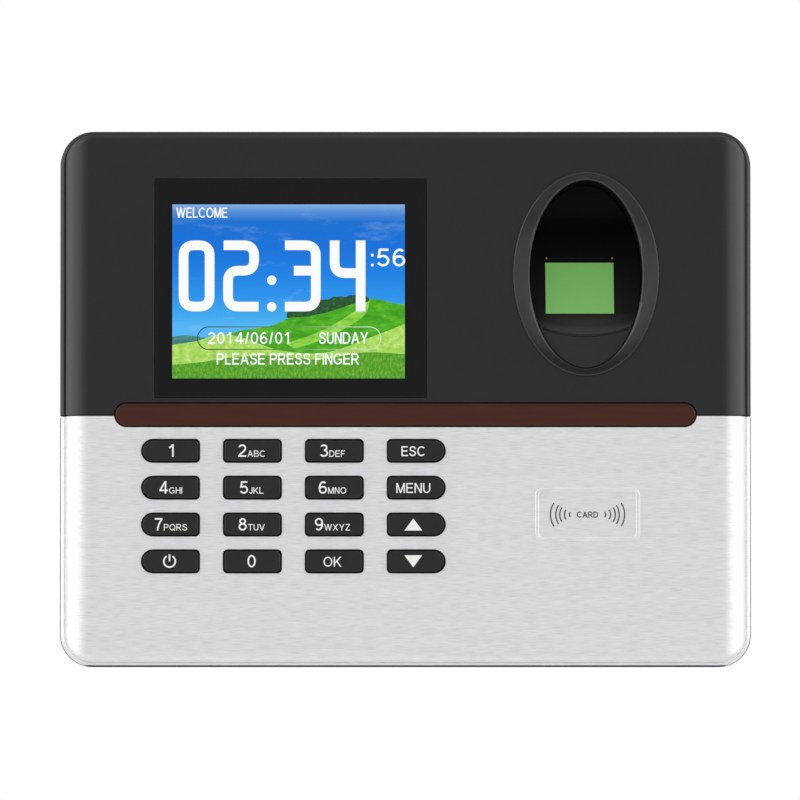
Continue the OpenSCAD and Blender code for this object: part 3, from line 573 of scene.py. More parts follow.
def well_plastic_with_painted_shade():
    """The finger well: matt black plastic, painted darker up in the recess and lighter down on its
    lead-in ramp, as painted shade.
    """
    look = Look("well_black_painted_shade", (0.006, 0.006, 0.0062), 0.6, Specular_IOR_Level=0.26)
    # Painted shade: the colour darkens upwards into the deep recess and is lighter near the ledge
    height = look.to_range(look.along("Z"), 0.0, 1.0, 0.0085, 0.0215)
    colour = look.ramp(height, (0.5, (0.046, 0.046, 0.047)), (0.66, (0.042, 0.042, 0.043)),
                       (0.92, (0.013, 0.013, 0.013)), (1.0, (0.0034, 0.0034, 0.0035)))
    look.feed("Base Color", colour)
    grain = look.noise(0.3, 3.0)
    look.gloss(grain, 0.05)
    look.bump(grain, 0.006)
    return look.material


def platen_glass():
    """Coated glass that glows an even green from the lamps behind it."""
    look = Look("platen_green", (0.06, 0.16, 0.04), 0.35, Emission_Strength=1.0)
    glow = look.ramp(look.noise(5.0, 3.0), (0.3, (0.110, 0.280, 0.071)),
                     (0.7, (0.116, 0.295, 0.075)))
    look.feed("Emission Color", glow)
    look.gloss(look.noise(0.4, 3.0), 0.05)
    return look.material


def lit(name, colour_of):
    """A lit part of the display's picture: black, and it glows in the output of colour_of(look)."""
    look = Look(name, (0.0, 0.0, 0.0), 0.1, Emission_Strength=1.0)
    look.feed("Emission Color", colour_of(look))
    return look.material


def lit_plain(name, colour):
    """One colour, with the fine unevenness of a display."""
    return lit(name, lambda look: look.ramp(look.noise(0.12, 1.0), (0.3, scaled(colour, 0.97)),
                                            (0.7, colour)))


def lit_field(name, size, *stops):
    """A patch of foliage or grass: noise through a colour ramp."""
    return lit(name, lambda look: look.ramp(look.noise(size, 5.0, 0.65), *stops))


def lit_sky(name, bottom, top):
    """A blue sky: pale at the horizon, deep above, hazy at the top, with a few thin clouds."""
    def colour_of(look):
        rise = look.to_range(look.along("Z"), 0.0, 1.0, bottom * MM, top * MM)
        blue = look.ramp(rise, (0.3, srgb(84, 180, 244)), (0.34, srgb(64, 172, 239)),
                         (0.47, srgb(36, 145, 235)), (0.61, srgb(19, 127, 225)),
                         (0.75, srgb(6, 112, 218)), (0.9, srgb(12, 110, 207)),
                         (0.955, srgb(78, 138, 214)), (1.0, srgb(130, 175, 228)))
        wisps = look.noise((16.0, 5.0, 4.5), 6.0, 0.62)
        cover = look.ramp(wisps, (0.56, (0.0, 0.0, 0.0)), (0.8, (0.3, 0.3, 0.3)))
        return look.mix(cover, blue, srgb(190, 222, 250))
    return lit(name, colour_of)


def lit_pill(x, w):
    """The outline round the date: dark at its left end, pale at its right one."""
    def colour_of(look):
        across = look.to_range(look.along("X"), 0.0, 1.0, (x - w / 2) * MM, (x + w / 2) * MM)
        return look.ramp(across, (0.0, srgb(30, 66, 34)), (0.55, srgb(96, 160, 70)),
                         (1.0, srgb(200, 228, 190)))
    return lit("lit_pill", colour_of)


def circuit_board(name, mask, trace):
    """Solder mask with the slightly lighter copper runs showing through."""
    look = Look(name, mask, 0.32, Coat_Weight=0.4, Coat_Roughness=0.15)
    vector = look.grid((3.2, 3.2, 3.2))
    runs = look.node("TexBrick")
    runs.inputs["Scale"].default_value = 1
    runs.inputs["Mortar Size"].default_value = 0.08
    runs.inputs["Color1"].default_value = (*mask, 1)
    runs.inputs["Color2"].default_value = (*scaled(mask, 1.15), 1)
    runs.inputs["Mortar"].default_value = (*trace, 1)
    swap = look.node("VectorRotate", rotation_type="X_AXIS")
    swap.inputs["Angle"].default_value = math.pi / 2
    look.link(vector, swap.inputs["Vector"])
    look.link(swap.outputs["Vector"], runs.inputs["Vector"])
    look.feed("Base Color", runs.outputs["Color"])
    look.bump(look.noise(0.5, 3.0), 0.01)
    return look.material


def glow_cap(name, colour, strength):
    """A lamp's cap, which glows a little in its own colour."""
    look = Look(name, colour, 0.3, Emission_Strength=strength)
    look.feed("Emission Color", look.tint(look.noise(1.0, 2.0), 0.05))
    return look.material


def make_looks():
    """The materials by record slot, and a few more for details."""
    return {
        "black_cover": satin_black(),
        "silver_cover": brushed_silver(),
        "housing_black": spark_texture(),
        "screw_steel": metal("steel_zinc", (0.6, 0.6, 0.61), 0.3, 0.8),
        "brown_bar": bar_acrylic(),
        "green_board": circuit_board("board_green", (0.015, 0.10, 0.035), (0.03, 0.17, 0.06)),
        "lamp_dot": glow_cap("lamp_dot", (0.42, 0.37, 0.26), 0.12),
        "led_white": glow_cap("led_cap", (0.85, 0.8, 0.55), 0.2),
        "screen_gloss": gloss_window(),
        "adhesive_tape": plastic("tape_cream", (0.7, 0.66, 0.55), 0.6, 0.8, 0.02, 0.1),
        "black_foam": plastic("foam_black", (0.02, 0.02, 0.02), 0.9, 0.35, 0.08, 0.2),
        "display_glass": plastic("panel_glass", (0.03, 0.06, 0.12), 0.08, 2.0, 0.001, 0.05),
        "backlight_white": plastic("light_guide", (0.8, 0.82, 0.84), 0.4, 1.0, 0.01, 0.03),
        "can_steel": metal("steel_tinned", (0.66, 0.67, 0.69), 0.27, (2.5, 0.15, 0.15)),
        "flex_amber": plastic("flex_amber", (0.5, 0.22, 0.04), 0.25, 1.2, 0.004, 0.12),
        "flex_white": plastic("flex_white", (0.78, 0.78, 0.73), 0.35, 1.2, 0.004, 0.05),
        "bezel_black": plastic("bezel_satin", (0.022, 0.022, 0.0228), 0.42, 0.3, 0.003, 0.05,
                               Specular_IOR_Level=0.3),
        "well_black": well_plastic_with_painted_shade(),
        "platen_glass": platen_glass(),
        "camera_black": plastic("camera_black", (0.02, 0.02, 0.022), 0.3, 0.5, 0.004),
        "blue_board": circuit_board("board_blue", (0.012, 0.05, 0.17), (0.03, 0.10, 0.28)),
        "silicone_grey": plastic("silicone", (0.22, 0.22, 0.23), 0.7, 0.5, 0.01, 0.08),
        "copper_trace": metal("copper", (0.8, 0.42, 0.2), 0.3, 1.5),
        "chip_black": plastic("chip_epoxy", (0.025, 0.025, 0.027), 0.6, 0.3, 0.015, 0.1),
        "jack_black": plastic("nylon_black", (0.018, 0.018, 0.018), 0.5, 0.3, 0.015, 0.1),
        "terminal_green": plastic("nylon_green", (0.035, 0.24, 0.075), 0.45, 0.4, 0.01, 0.08),
        "speaker_metal": metal("speaker_steel", (0.16, 0.16, 0.17), 0.4, 0.6),
        "speaker_paper": plastic("cone_paper", (0.02, 0.02, 0.02), 0.85, 0.7, 0.06, 0.25),
        "battery_wrap": plastic("wrap_blue", (0.02, 0.09, 0.38), 0.25, 3.0, 0.02, 0.08),
        "spring_steel": metal("spring_wire", (0.62, 0.62, 0.64), 0.22, 0.5),
        "plunger_white": plastic("acetal_white", (0.72, 0.72, 0.70), 0.35, 0.4, 0.004, 0.03),
        "plate_steel": metal("plate_zinc", (0.62, 0.63, 0.65), 0.34, (6.0, 6.0, 0.2), 0.004, 0.12),
        "key_black": plastic("key_satin", (0.0142, 0.0142, 0.0152), 0.4, 0.3, 0.005, 0.05,
                             Specular_IOR_Level=0.4),
        "ink_white": plastic("ink_white", (0.93, 0.93, 0.93), 0.5, 0.2, 0.002, 0.03),
        "ink_grey": plastic("ink_grey", (0.035, 0.035, 0.04), 0.5, 0.2, 0.002, 0.1),
        # Dark unpainted plastic; along the lower cover's bottom edge it is also painted shade
        "bare_plastic_and_painted_shade": plastic("cover_bare_and_painted_shade", (0.012, 0.012, 0.0125), 0.55, 0.3, 0.006, 0.06,
                                Specular_IOR_Level=0.12),
        "scoop": plastic("scoop_satin", (0.022, 0.022, 0.023), 0.55, 0.3, 0.006, 0.06,
                         Specular_IOR_Level=0.3),
        # A lighter satin black for the bezel's two edges: a painted highlight
        "bezel_painted_highlight": plastic("bezel_painted_highlight", (0.036, 0.036, 0.037), 0.3, 0.3, 0.003, 0.05),
        "gold": metal("contact_gold", (0.9, 0.62, 0.22), 0.25, 0.5),
        "strip_dark": plastic("strip_dark", (0.014, 0.013, 0.017), 0.4, 0.3, 0.003, 0.06),
    }


LOOKS = make_looks()


# ---------- Lettering ----------

def smooth(points, steps=6):
    """A smooth line through points, as a Catmull-Rom curve."""
    line = []
    padded = [points[0], *points, points[-1]]
    for p0, p1, p2, p3 in zip(padded, padded[1:], padded[2:], padded[3:]):
        for i in range(steps):
            t = i / steps
            line.append(tuple(0.5 * (2 * b + (c - a) * t + (2 * a - 5 * b + 4 * c - e) * t * t
                                     + (3 * b - a - 3 * c + e) * t ** 3)
                              for a, b, c, e in zip(p0, p1, p2, p3)))
    return [*line, points[-1]]


def stroke(path, width):
    """The outline of an even line. A straight one is cut level or upright at its ends."""
    if len(path) == 2:
        (x0, z0), (x1, z1) = path
        half = width / 2 * math.hypot(x1 - x0, z1 - z0) / max(abs(x1 - x0), abs(z1 - z0))
        dx, dz = (half, 0) if abs(z1 - z0) > abs(x1 - x0) else (0, half)
        return [(x0 - dx, z0 - dz), (x1 - dx, z1 - dz), (x1 + dx, z1 + dz), (x0 + dx, z0 + dz)]
    left, right = [], []
    for i, (x, z) in enumerate(path):
        ahead, behind = path[min(i + 1, len(path) - 1)], path[max(i - 1, 0)]
        dx, dz = ahead[0] - behind[0], ahead[1] - behind[1]
        length = math.hypot(dx, dz)
        nx, nz = -dz / length * width / 2, dx / length * width / 2
        left.append((x + nx, z + nz))
        right.append((x - nx, z - nz))
    return left + right[::-1]


def stem(x, low=0.0, high=1.0):
    """An upright pen line."""
    return [(x, low), (x, high)]


def bar(z, x0, x1):
    """A level pen line."""
    return [(x0, z), (x1, z)]


PRINT_T = 0.03
PEN_SHARE = 0.13
# Each letter has its width and its pen lines, for a height of 1 and a pen of PEN_SHARE
TOP, FOOT = 0.935, 0.065
STEM = stem(0.065)
P_BOWL = [(0.065, TOP), *bow(0.46, 0.70, 0.265, 0.235, 90, -90), (0.065, 0.465)]
O_RING = bow(0.49, 0.5, 0.425, 0.435, 0, 360)
GLYPHS = {
    "A": (0.92, [[(0.07, 0), (0.46, 1)], [(0.46, 1), (0.85, 0)], bar(0.345, 0.2, 0.72)]),
    "B": (0.80, [STEM, [(0.065, TOP), *bow(0.44, 0.735, 0.235, 0.2, 90, -90), (0.065, 0.535)],
                 [(0.065, 0.535), *bow(0.46, 0.3, 0.275, 0.235, 90, -90), (0.065, FOOT)]]),
    "C": (0.92, [bow(0.49, 0.5, 0.425, 0.435, 42, 318)]),
    "D": (0.86, [STEM, [(0.065, TOP), *bow(0.36, 0.5, 0.435, 0.435, 90, -90), (0.065, FOOT)]]),
    "E": (0.76, [STEM, bar(TOP, 0, 0.74), bar(0.52, 0, 0.70), bar(FOOT, 0, 0.76)]),
    "F": (0.70, [STEM, bar(TOP, 0, 0.70), bar(0.49, 0, 0.60)]),
    "G": (0.96, [bow(0.5, 0.5, 0.435, 0.435, 46, 325), stem(0.86, 0.17, 0.51),
                 bar(0.45, 0.52, 0.925)]),
    "H": (0.79, [STEM, stem(0.725), bar(0.53, 0, 0.79)]),
    "I": (0.13, [STEM]),
    "J": (0.55, [[(0.485, 1), (0.485, 0.3), *bow(0.275, 0.285, 0.21, 0.22, -8, -172)]]),
    "K": (0.84, [STEM, [(0.76, 1), (0.08, 0.33)], [(0.33, 0.56), (0.76, 0)]]),
    "L": (0.68, [STEM, bar(FOOT, 0, 0.68)]),
    "M": (0.95, [STEM, stem(0.885), [(0.09, 1), (0.475, 0)], [(0.86, 1), (0.475, 0)]]),
    "N": (0.79, [STEM, stem(0.725), [(0.085, 1), (0.705, 0)]]),
    "O": (0.98, [O_RING]),
    "P": (0.79, [STEM, P_BOWL]),
    "Q": (0.98, [O_RING, [(0.58, 0.26), (0.92, -0.03)]]),
    "R": (0.86, [STEM, P_BOWL, [(0.40, 0.47), (0.78, 0)]]),
    "S": (0.79, [smooth([(0.71, 0.72), (0.62, 0.88), (0.40, 0.935), (0.18, 0.87), (0.11, 0.73),
                         (0.20, 0.59), (0.42, 0.52), (0.63, 0.44), (0.72, 0.28), (0.62, 0.12),
                         (0.40, 0.065), (0.16, 0.12), (0.07, 0.30)])]),
    "T": (0.80, [stem(0.40), bar(TOP, 0, 0.80)]),
    "U": (0.79, [[(0.065, 1), *bow(0.395, 0.365, 0.33, 0.30, 180, 360), (0.725, 1)]]),
    "V": (0.90, [[(0.07, 1), (0.45, 0)], [(0.45, 0), (0.83, 1)]]),
    "W": (1.28, [[(0.07, 1), (0.36, 0)], [(0.36, 0), (0.64, 1)], [(0.64, 1), (0.92, 0)],
                 [(0.92, 0), (1.21, 1)]]),
    "X": (0.88, [[(0.08, 0), (0.80, 1)], [(0.08, 1), (0.80, 0)]]),
    "Y": (0.90, [[(0.07, 1), (0.45, 0.40)], [(0.83, 1), (0.45, 0.40)], stem(0.45, 0, 0.44)]),
    "Z": (0.78, [bar(TOP, 0.04, 0.76), bar(FOOT, 0, 0.78), [(0.68, 0.92), (0.09, 0.08)]]),
    "0": (0.66, [bow(0.33, 0.5, 0.265, 0.435, 0, 360)]),
    "1": (0.66, [stem(0.365), smooth([(0.07, 0.73), (0.22, 0.82), (0.34, 0.98)])]),
    "2": (0.66, [[*bow(0.33, 0.70, 0.255, 0.235, 165, -30), *smooth([(0.43, 0.43), (0.27, 0.29),
                 (0.14, 0.17), (0.08, 0.07)])], bar(FOOT, 0.01, 0.66)]),
    "3": (0.66, [bow(0.32, 0.735, 0.225, 0.20, 155, -90), bow(0.32, 0.30, 0.265, 0.235, 90, -155)]),
    "4": (0.68, [stem(0.49), [(0.49, 1), (0.05, 0.28)], bar(0.265, 0, 0.68)]),
    "5": (0.66, [bar(TOP, 0.12, 0.61), [(0.17, 1), (0.09, 0.47)],
                 bow(0.325, 0.325, 0.27, 0.26, 135, -155)]),
    "6": (0.66, [bow(0.335, 0.315, 0.26, 0.25, 0, 360), bow(0.365, 0.45, 0.30, 0.485, 185, 55)]),
    "7": (0.66, [bar(TOP, 0.03, 0.64),
                 smooth([(0.60, 0.92), (0.42, 0.63), (0.30, 0.32), (0.25, 0)])]),
    "8": (0.66, [bow(0.33, 0.745, 0.205, 0.19, 0, 360), bow(0.33, 0.30, 0.265, 0.235, 0, 360)]),
    "9": (0.66, [bow(0.325, 0.685, 0.26, 0.25, 0, 360), bow(0.295, 0.55, 0.30, 0.485, 5, -125)]),
    ":": (0.15, [stem(0.075, 0, 0.15), stem(0.075, 0.56, 0.71)]),
    "/": (0.36, [[(0.06, 0), (0.30, 1)]]),
    " ": (0.25, []),
}


def text_extent(text, gap):
    """Width of a text for a height of 1."""
    return sum(GLYPHS[c][0] + gap for c in text) - gap


def lettering(name, text, look, left, base, height, d, node, slot=None, width=None, gap=0.16,
              pen=PEN_SHARE, thick=PRINT_T, align=0.0):
    """Printed text. left is where it starts, or its middle with align 0.5."""
    natural = text_extent(text, gap)
    wide = width / natural if width else height
    cursor = left - align * wide * natural
    outlines = []
    for character in text:
        glyph_w, paths = GLYPHS[character]
        for path in paths:
            points = [(cursor + x * wide, base + z * height) for x, z in path]
            outlines.append(stroke(points, pen * height))
        cursor += (glyph_w + gap) * wide
    solid = Solid()
    solid.flat(outlines, d, d + thick)
    return solid.piece(name, look, node, slot, stands_for=False)


# ---------- Covers ----------

KEY_ROWS = [["key_1", "key_2", "key_3", "key_esc"],
            ["key_4", "key_5", "key_6", "key_menu"],
            ["key_7", "key_8", "key_9", "key_up"],
            ["key_power", "key_0", "key_ok", "key_down"]]
KEYS = {name: (row, col) for row, names in enumerate(KEY_ROWS) for col, name in enumerate(names)}
KEY_FLANGE = 0.8
KEY_GAP = 0.24
CAP_INSET = 0.18
KEY_R = 1.0
SLOT_GAP = 0.28
BAR_FLANGE = 4
BAR_W = BAR.x1 - BAR.x0 - BAR_FLANGE
BAR_H = 5.6
BAR_INSET = 0.1
PICTURE_W = 57.3
PICTURE_H = 42.9
PICTURE = (-28.8, 26.3)
UPPER_BOSSES = [(sx * 77, z) for sx in (-1, 1) for z in (57, 6)]
LOWER_BOSSES = [(sx * 77, z) for sx in (-1, 1) for z in (-12, -57)]
PAD_POSTS = ([(x, z) for x in (-70.5, 14.5) for z in (-11.5, -44)]
             + [(-27.7, z) for z in (-17.45, -35.6)])
BRACKET_POSTS = [(x, z) for x in (-64.5, 12.8) for z in (8, 46)]
WELL_POSTS = [(44.5 + sx * 18.5, 30.6 + sz * 20) for sx in (-1, 1) for sz in (-1, 1)]
WELL_POST_FOOT = 28
CARD_PEGS = [(middle(CARD)[0] + sx * 20.5, middle(CARD)[1] + sz * 14.5)
             for sx in (-1, 1) for sz in (-1, 1)]


def rolled(front, roll):
    """Depth of a sheet whose left and right edges roll back from ROLL_FROM."""
    def depth(x, z):
        past = min(max(0.0, abs(x) - ROLL_FROM), roll)
        return front - roll + math.sqrt(roll * roll - past * past)
    return depth


def corner_share(z, r):
    """0 on the left and right edges, 1 on the top and bottom edges, between in the corners."""
    return min(max((abs(z) - FACE_H / 2 + FACE_R) / r, 0.0), 1.0)


def face_outline(out, wider=0.0):
    """The raised face's outline, grown by out, and by wider on its left and right."""
    return rounded((0, 0), FACE_W + 2 * out + 2 * wider, FACE_H + 2 * out, FACE_R + out, steps=20)


def roll_lines(roll, half_h, r, inset):
    """Lines down the rolled left and right edges, which keep the surface round."""
    lines = []
    for angle in range(0, 55, 5):
        x = ROLL_FROM + roll * math.sin(math.radians(angle))
        centre_x, centre_z = FACE_W / 2 - FACE_R, half_h - r
        limit = centre_z + math.sqrt(max((r - inset) ** 2 - (x - centre_x) ** 2, 0.0)) - 0.35
        count = round(2 * limit / 3)
        for side in (-1, 1):
            lines.append([(side * x, -limit + 2 * limit * i / count) for i in range(count + 1)])
    return lines


def key_outline(name, grow):
    """Outline of a key cap; the outer columns have a fully round outer end."""
    box = cad(name)
    col = KEYS[name][1]
    w = box.x1 - box.x0 - 2 * KEY_FLANGE + 2 * grow
    h = box.z1 - box.z0 - 2 * KEY_FLANGE + 2 * grow
    small = max(KEY_R + grow / 2, 0.05)
    return rounded(middle(box), w, h, h / 2 if col == 0 else small,
                   h / 2 if col == 3 else small, steps=10)


def bar_outline(grow):
    """The light bar's round-ended outline, grown by grow."""
    h = BAR_H + 2 * grow
    return rounded(middle(BAR), BAR_W + 2 * grow, h, h / 2, steps=12)


def lens_outline(grow):
    """The window's outline, grown by grow."""
    return rounded(middle(LENS), LENS.x1 - LENS.x0 + 2 * grow, LENS.z1 - LENS.z0 + 2 * grow, 0)


def aperture(solid, outline_at, edge):
    """An opening with a rounded rim; gives its front and inner rings."""
    rings = [(outline_at(drop), FACE - inset) for inset, drop in rounding(edge, 3)]
    return solid.stack([*rings, (outline_at(0), INSIDE)])


def openings(solid):
    """The front and inner rings of the keys', light bar's, finger well's and window's openings."""
    x, z = middle(BEZEL)
    well_a, well_b = BEZEL.x1 - x - 0.6, BEZEL.z1 - z - 0.55
    made = [aperture(solid, lambda g, name=name: key_outline(name, KEY_GAP + g), 0.1)
            for name in KEYS]
    made.append(aperture(solid, lambda g: bar_outline(SLOT_GAP + g), 0.08))
    made.append(aperture(solid, lambda g: ellipse((x, z), well_a + g, well_b + g), 0.1))
    pocket = LENS.d0 - 0.2
    sight = rounded(PICTURE, PICTURE_W + 2.4, PICTURE_H + 2.2, 0)
    made.append(solid.stack([(lens_outline(0.22), FACE), (lens_outline(0.1), FACE - 0.12),
                             (lens_outline(0.1), pocket), (sight, pocket), (sight, INSIDE)]))
    return zip(*made)


def cover_sheet():
    """Both covers as one closed shell, before they are cut apart at the seam."""
    solid = Solid()
    front, back = rolled(FACE, SIDE_ROLL), rolled(INSIDE, SIDE_ROLL - WALL)
    rings = []
    for inset, drop in reversed(rounding(EDGE_ROLL, 6)):
        rings.append((face_outline(-inset), lambda x, z, inset=inset, drop=drop:
                      front(x, z) - drop * corner_share(z, FACE_R - inset)))
    floor = RIM - GROOVE_DEEP
    bead = RIM_W - GROOVE_W
    rings += [(face_outline(0), floor), (face_outline(GROOVE_W), floor),
              (face_outline(GROOVE_W), RIM - 0.08)]
    for i in range(1, 10):
        a = math.pi / 18 * i
        rings.append((face_outline(GROOVE_W + bead * math.sin(a)),
                      RIM - BEAD_DROP * (1 - math.cos(a))))
    rings += [(face_outline(RIM_W), BARE_BEHIND),
              (face_outline(RIM_W, WALL_STEP), SPLIT + 0.2),
              (face_outline(RIM_W - 0.2, WALL_STEP), SPLIT),
              (face_outline(-WALL), SPLIT), (face_outline(-WALL), back)]
    face_ring, inner_ring = solid.stack(rings)
    fronts, backs = openings(solid)
    solid.fill(face_ring, fronts, roll_lines(SIDE_ROLL, FACE_H / 2, FACE_R, EDGE_ROLL), front)
    solid.fill(inner_ring, backs,
               roll_lines(SIDE_ROLL - WALL, FACE_H / 2 - WALL, FACE_R - WALL, 0), back)
    return solid


def seam_tongue(solid, side):
    """A strip of the upper cover that closes the seam behind, from the light bar outwards."""
    def profile(inset):
        r = SIDE_ROLL - inset
        bend = [(ROLL_FROM + r * math.sin(a), RIM + r * math.cos(a))
                for a in (math.pi / 2 * i / 8 for i in range(9))]
        start, end = BAR.x1 - BAR_FLANGE / 2 + SLOT_GAP + 0.1, BODY_W / 2 + 0.1 - inset
        return [(start, FACE - inset), *bend, (FACE_W / 2 - inset, RIM - 1), (end, RIM - 1.5),
                (end, SPLIT + 0.5)]
    outline = profile(TONGUE_DEEP) + profile(TONGUE_DEEP + TONGUE_T)[::-1]
    low, high = SEAM_BOTTOM + 0.02, SEAM_TOP + 0.4
    rings = [[solid.bm.verts.new(at(side * x, z, d)) for x, d in outline] for z in (low, high)]
    solid.join(*rings)
    count = len(outline) // 2
    for ring in rings:
        for i in range(count - 1):
            solid.bm.faces.new((ring[i], ring[i + 1], ring[-i - 2], ring[-i - 1]))


def bare_or_painted_shade(x, z, d):
    """True on the lower cover's walls, openings and back, which the silver doesn't reach, and on a
    thin band along its bottom edge, painted dark as the shade of its underside.
    """
    painted_from = FACE - PAINT_DEEP
    in_face = abs(x) < ROLL_FROM and abs(z) < FACE_H / 2 - EDGE_ROLL
    # The band along the bottom edge is painted shade; the rest is plastic that the silver doesn't
    # reach
    return z < LOWER.z0 + PAINTED_SHADE_BAND or d < (painted_from if in_face else BARE_BEHIND)


def make_covers():
    """The two covers with their screw bosses, posts and pegs behind."""
    upper, lower = cover_sheet(), cover_sheet()
    upper.cut(SEAM_TOP, keep_above=True)
    lower.cut(SEAM_BOTTOM - 0.08, keep_above=False)
    seam_tongue(upper, -1)
    seam_tongue(upper, 1)
    root = INSIDE + 0.1
    for solid, places, r, bore, foot in (
            (upper, UPPER_BOSSES, 3.2, 1.3, SPLIT),
            (upper, BRACKET_POSTS, 2.4, 1.0, cad("lcd_bracket").d1),
            (upper, WELL_POSTS, 2.4, 1.0, WELL_POST_FOOT),
            (lower, LOWER_BOSSES, 3.2, 1.3, SPLIT),
            (lower, PAD_POSTS, 1.7, 1.0, cad("keypad_board").d1)):
        for p in places:
            solid.tube(p, r, bore, foot, root)
    for p in CARD_PEGS:
        lower.rod(p, 1.2, CARD.d0 - 0.6, root)
        lower.rod(p, 2.0, CARD.d1, root)
    card_ridge(lower)
    upper.piece("upper_cover_shell", LOOKS["black_cover"], "upper_cover",
                other=(LOOKS["bare_plastic_and_painted_shade"], lambda x, z, d: d < BARE_BEHIND))
    # The lower cover's bottom band takes the dark look as painted shade
    lower.piece("lower_cover_shell", LOOKS["silver_cover"], "lower_cover",
                other=(LOOKS["bare_plastic_and_painted_shade"], bare_or_painted_shade))


# ---------- Card reading mark ----------

RIDGE_W = 25.9
RIDGE_H = 13.2
RIDGE = 1.05
RIDGE_R = 1.8
RIDGE_HIGH = LOWER.d1 - FACE
RIDGE_SOFT = 0.32
ARC_REACH = [4.45, 5.66, 6.84, 7.8, 9.13]
ARC_HALF = [0.64, 1.18, 1.75, 2.3, 2.87]
ARC_FLATNESS = 1.8
ARC_PEN = 0.3


def card_ridge(solid):
    """The raised rectangular frame round the card reading mark."""
    def frame_at(inset):
        return rounded(middle(CARD), RIDGE_W - 2 * inset, RIDGE_H - 2 * inset,
                       max(RIDGE_R - inset, 0.3), steps=8)
    foot = FACE - 0.05
    edge = [(inset * RIDGE_SOFT, LOWER.d1 - drop * RIDGE_HIGH) for inset, drop in rounding(1, 5)]
    steps = [(frame_at(0), foot), *((frame_at(inset), d) for inset, d in edge),
             *((frame_at(RIDGE - inset), d) for inset, d in edge[::-1]), (frame_at(RIDGE), foot)]
    solid.stack(steps, closed=True)


def make_card_mark():
    """The word CARD between five radio arcs on each side."""
    x, z = middle(CARD)
    d = FACE + HAIR / 2
    lettering("card_word", "CARD", LOOKS["ink_grey"], x, z - 0.72, 1.43, d, "lower_cover",
              width=5.2, pen=0.17, align=0.5)
    outlines = []
    for reach_x, half in zip(ARC_REACH, ARC_HALF):
        r = half * ARC_FLATNESS
        swing = math.degrees(math.asin(half / r))
        for side in (-1, 1):
            path = [(x + side * (reach_x - r + px), z + pz)
                    for px, pz in bow(0, 0, r, r, -swing, swing, 14)]
            outlines.append(stroke(path, ARC_PEN))
    arcs = Solid()
    arcs.flat(outlines, d, d + PRINT_T)
    arcs.piece("card_arcs", LOOKS["ink_grey"], "lower_cover", stands_for=False)


# ---------- Light bar, window and display ----------

# Insets and drops of the bar's and the keys' front edges, whose rounding of radius EDGE_R
# begins part of the way up from upright
EDGE_R = 0.3
EDGE_TURNS = [math.radians(a) for a in (22, 40, 58, 75, 90)]
FRONT_EDGE = [(EDGE_R * (math.cos(EDGE_TURNS[0]) - math.cos(a)), EDGE_R * (1 - math.sin(a)))
              for a in EDGE_TURNS]
FLANGE_FRONT = INSIDE - 0.1
BAR_FLANGE_T = 1.9
BAR_FLANGE_H = BAR_H + 3.1
BAR_POST_STEP = 29.8


def make_light_bar():
    """The bar with its flange behind the face and three stepped posts."""
    solid = Solid()
    x, z = middle(BAR)
    flange = rounded((x, z), BAR.x1 - BAR.x0, BAR_FLANGE_H, BAR_FLANGE_H / 2, steps=12)
    flange_back = FLANGE_FRONT - BAR_FLANGE_T
    solid.block([(flange, flange_back), (flange, FLANGE_FRONT),
                 (bar_outline(-BAR_INSET), FLANGE_FRONT),
                 *((bar_outline(-BAR_INSET - inset), BAR.d1 - drop) for inset, drop in FRONT_EDGE)])
    for post in (-50, 0, 50):
        solid.rod((x + post, z), 1.5, BAR_POST_STEP, flange_back + 0.1)
        solid.rod((x + post, z), 0.9, BAR.d0, BAR_POST_STEP + 0.1)
    solid.piece("light_bar_lens", LOOKS["brown_bar"], "light_bar")


PICTURE_DEEP = 0.06
PICTURE_LEFT = PICTURE[0] - PICTURE_W / 2
PICTURE_FOOT = PICTURE[1] - PICTURE_H / 2
DISPLAY_D = FACE - PICTURE_DEEP
LAYER = 0.008


def make_window():
    """The gloss window: a plate with a shallow recess where the lit picture shows."""
    solid = Solid()
    picture = rounded(PICTURE, PICTURE_W, PICTURE_H, 0)
    edge = 0.15
    first, rim = solid.stack([(lens_outline(0), LENS.d0), (lens_outline(0), FACE - edge),
                              (lens_outline(-0.3 * edge), FACE - 0.3 * edge),
                              (lens_outline(-edge), FACE)])
    top, floor = solid.stack([(picture, FACE), (picture, DISPLAY_D)])
    solid.fill(first)
    solid.fill(rim, [top])
    solid.fill(floor)
    solid.piece("window_plate", LOOKS["screen_gloss"], "screen_lens")


def picture_point(u, v):
    """A point of the picture, u and v in mm from its lower left corner."""
    return PICTURE_LEFT + u, PICTURE_FOOT + v


def layer(name, look, outline, level):
    """A flat patch of the picture on its own level."""
    solid = Solid()
    d = DISPLAY_D + level * LAYER
    solid.block([(outline, d - LAYER / 2), (outline, d)])
    solid.piece(name, look, "lcd_glass", stands_for=False)


def ground(name, look, points, level):
    """Everything in the picture under a skyline that runs from left to right."""
    line = [picture_point(u, v) for u, v in smooth(points)]
    foot = picture_point(0, 0)[1]
    layer(name, look, [(line[0][0], foot), (line[-1][0], foot), *line[::-1]], level)


def ragged(points, rise, step, seed):
    """A tree line: a skyline broken into rounded crowns."""
    line = smooth(points, 12)
    return [(u, v + rise * (0.5 * abs(math.sin(i * step + seed)) + 0.3 * math.sin(i * 0.7 * step)
                            + 0.25 * abs(math.sin(i * 2.3 * step))))
            for i, (u, v) in enumerate(line)]


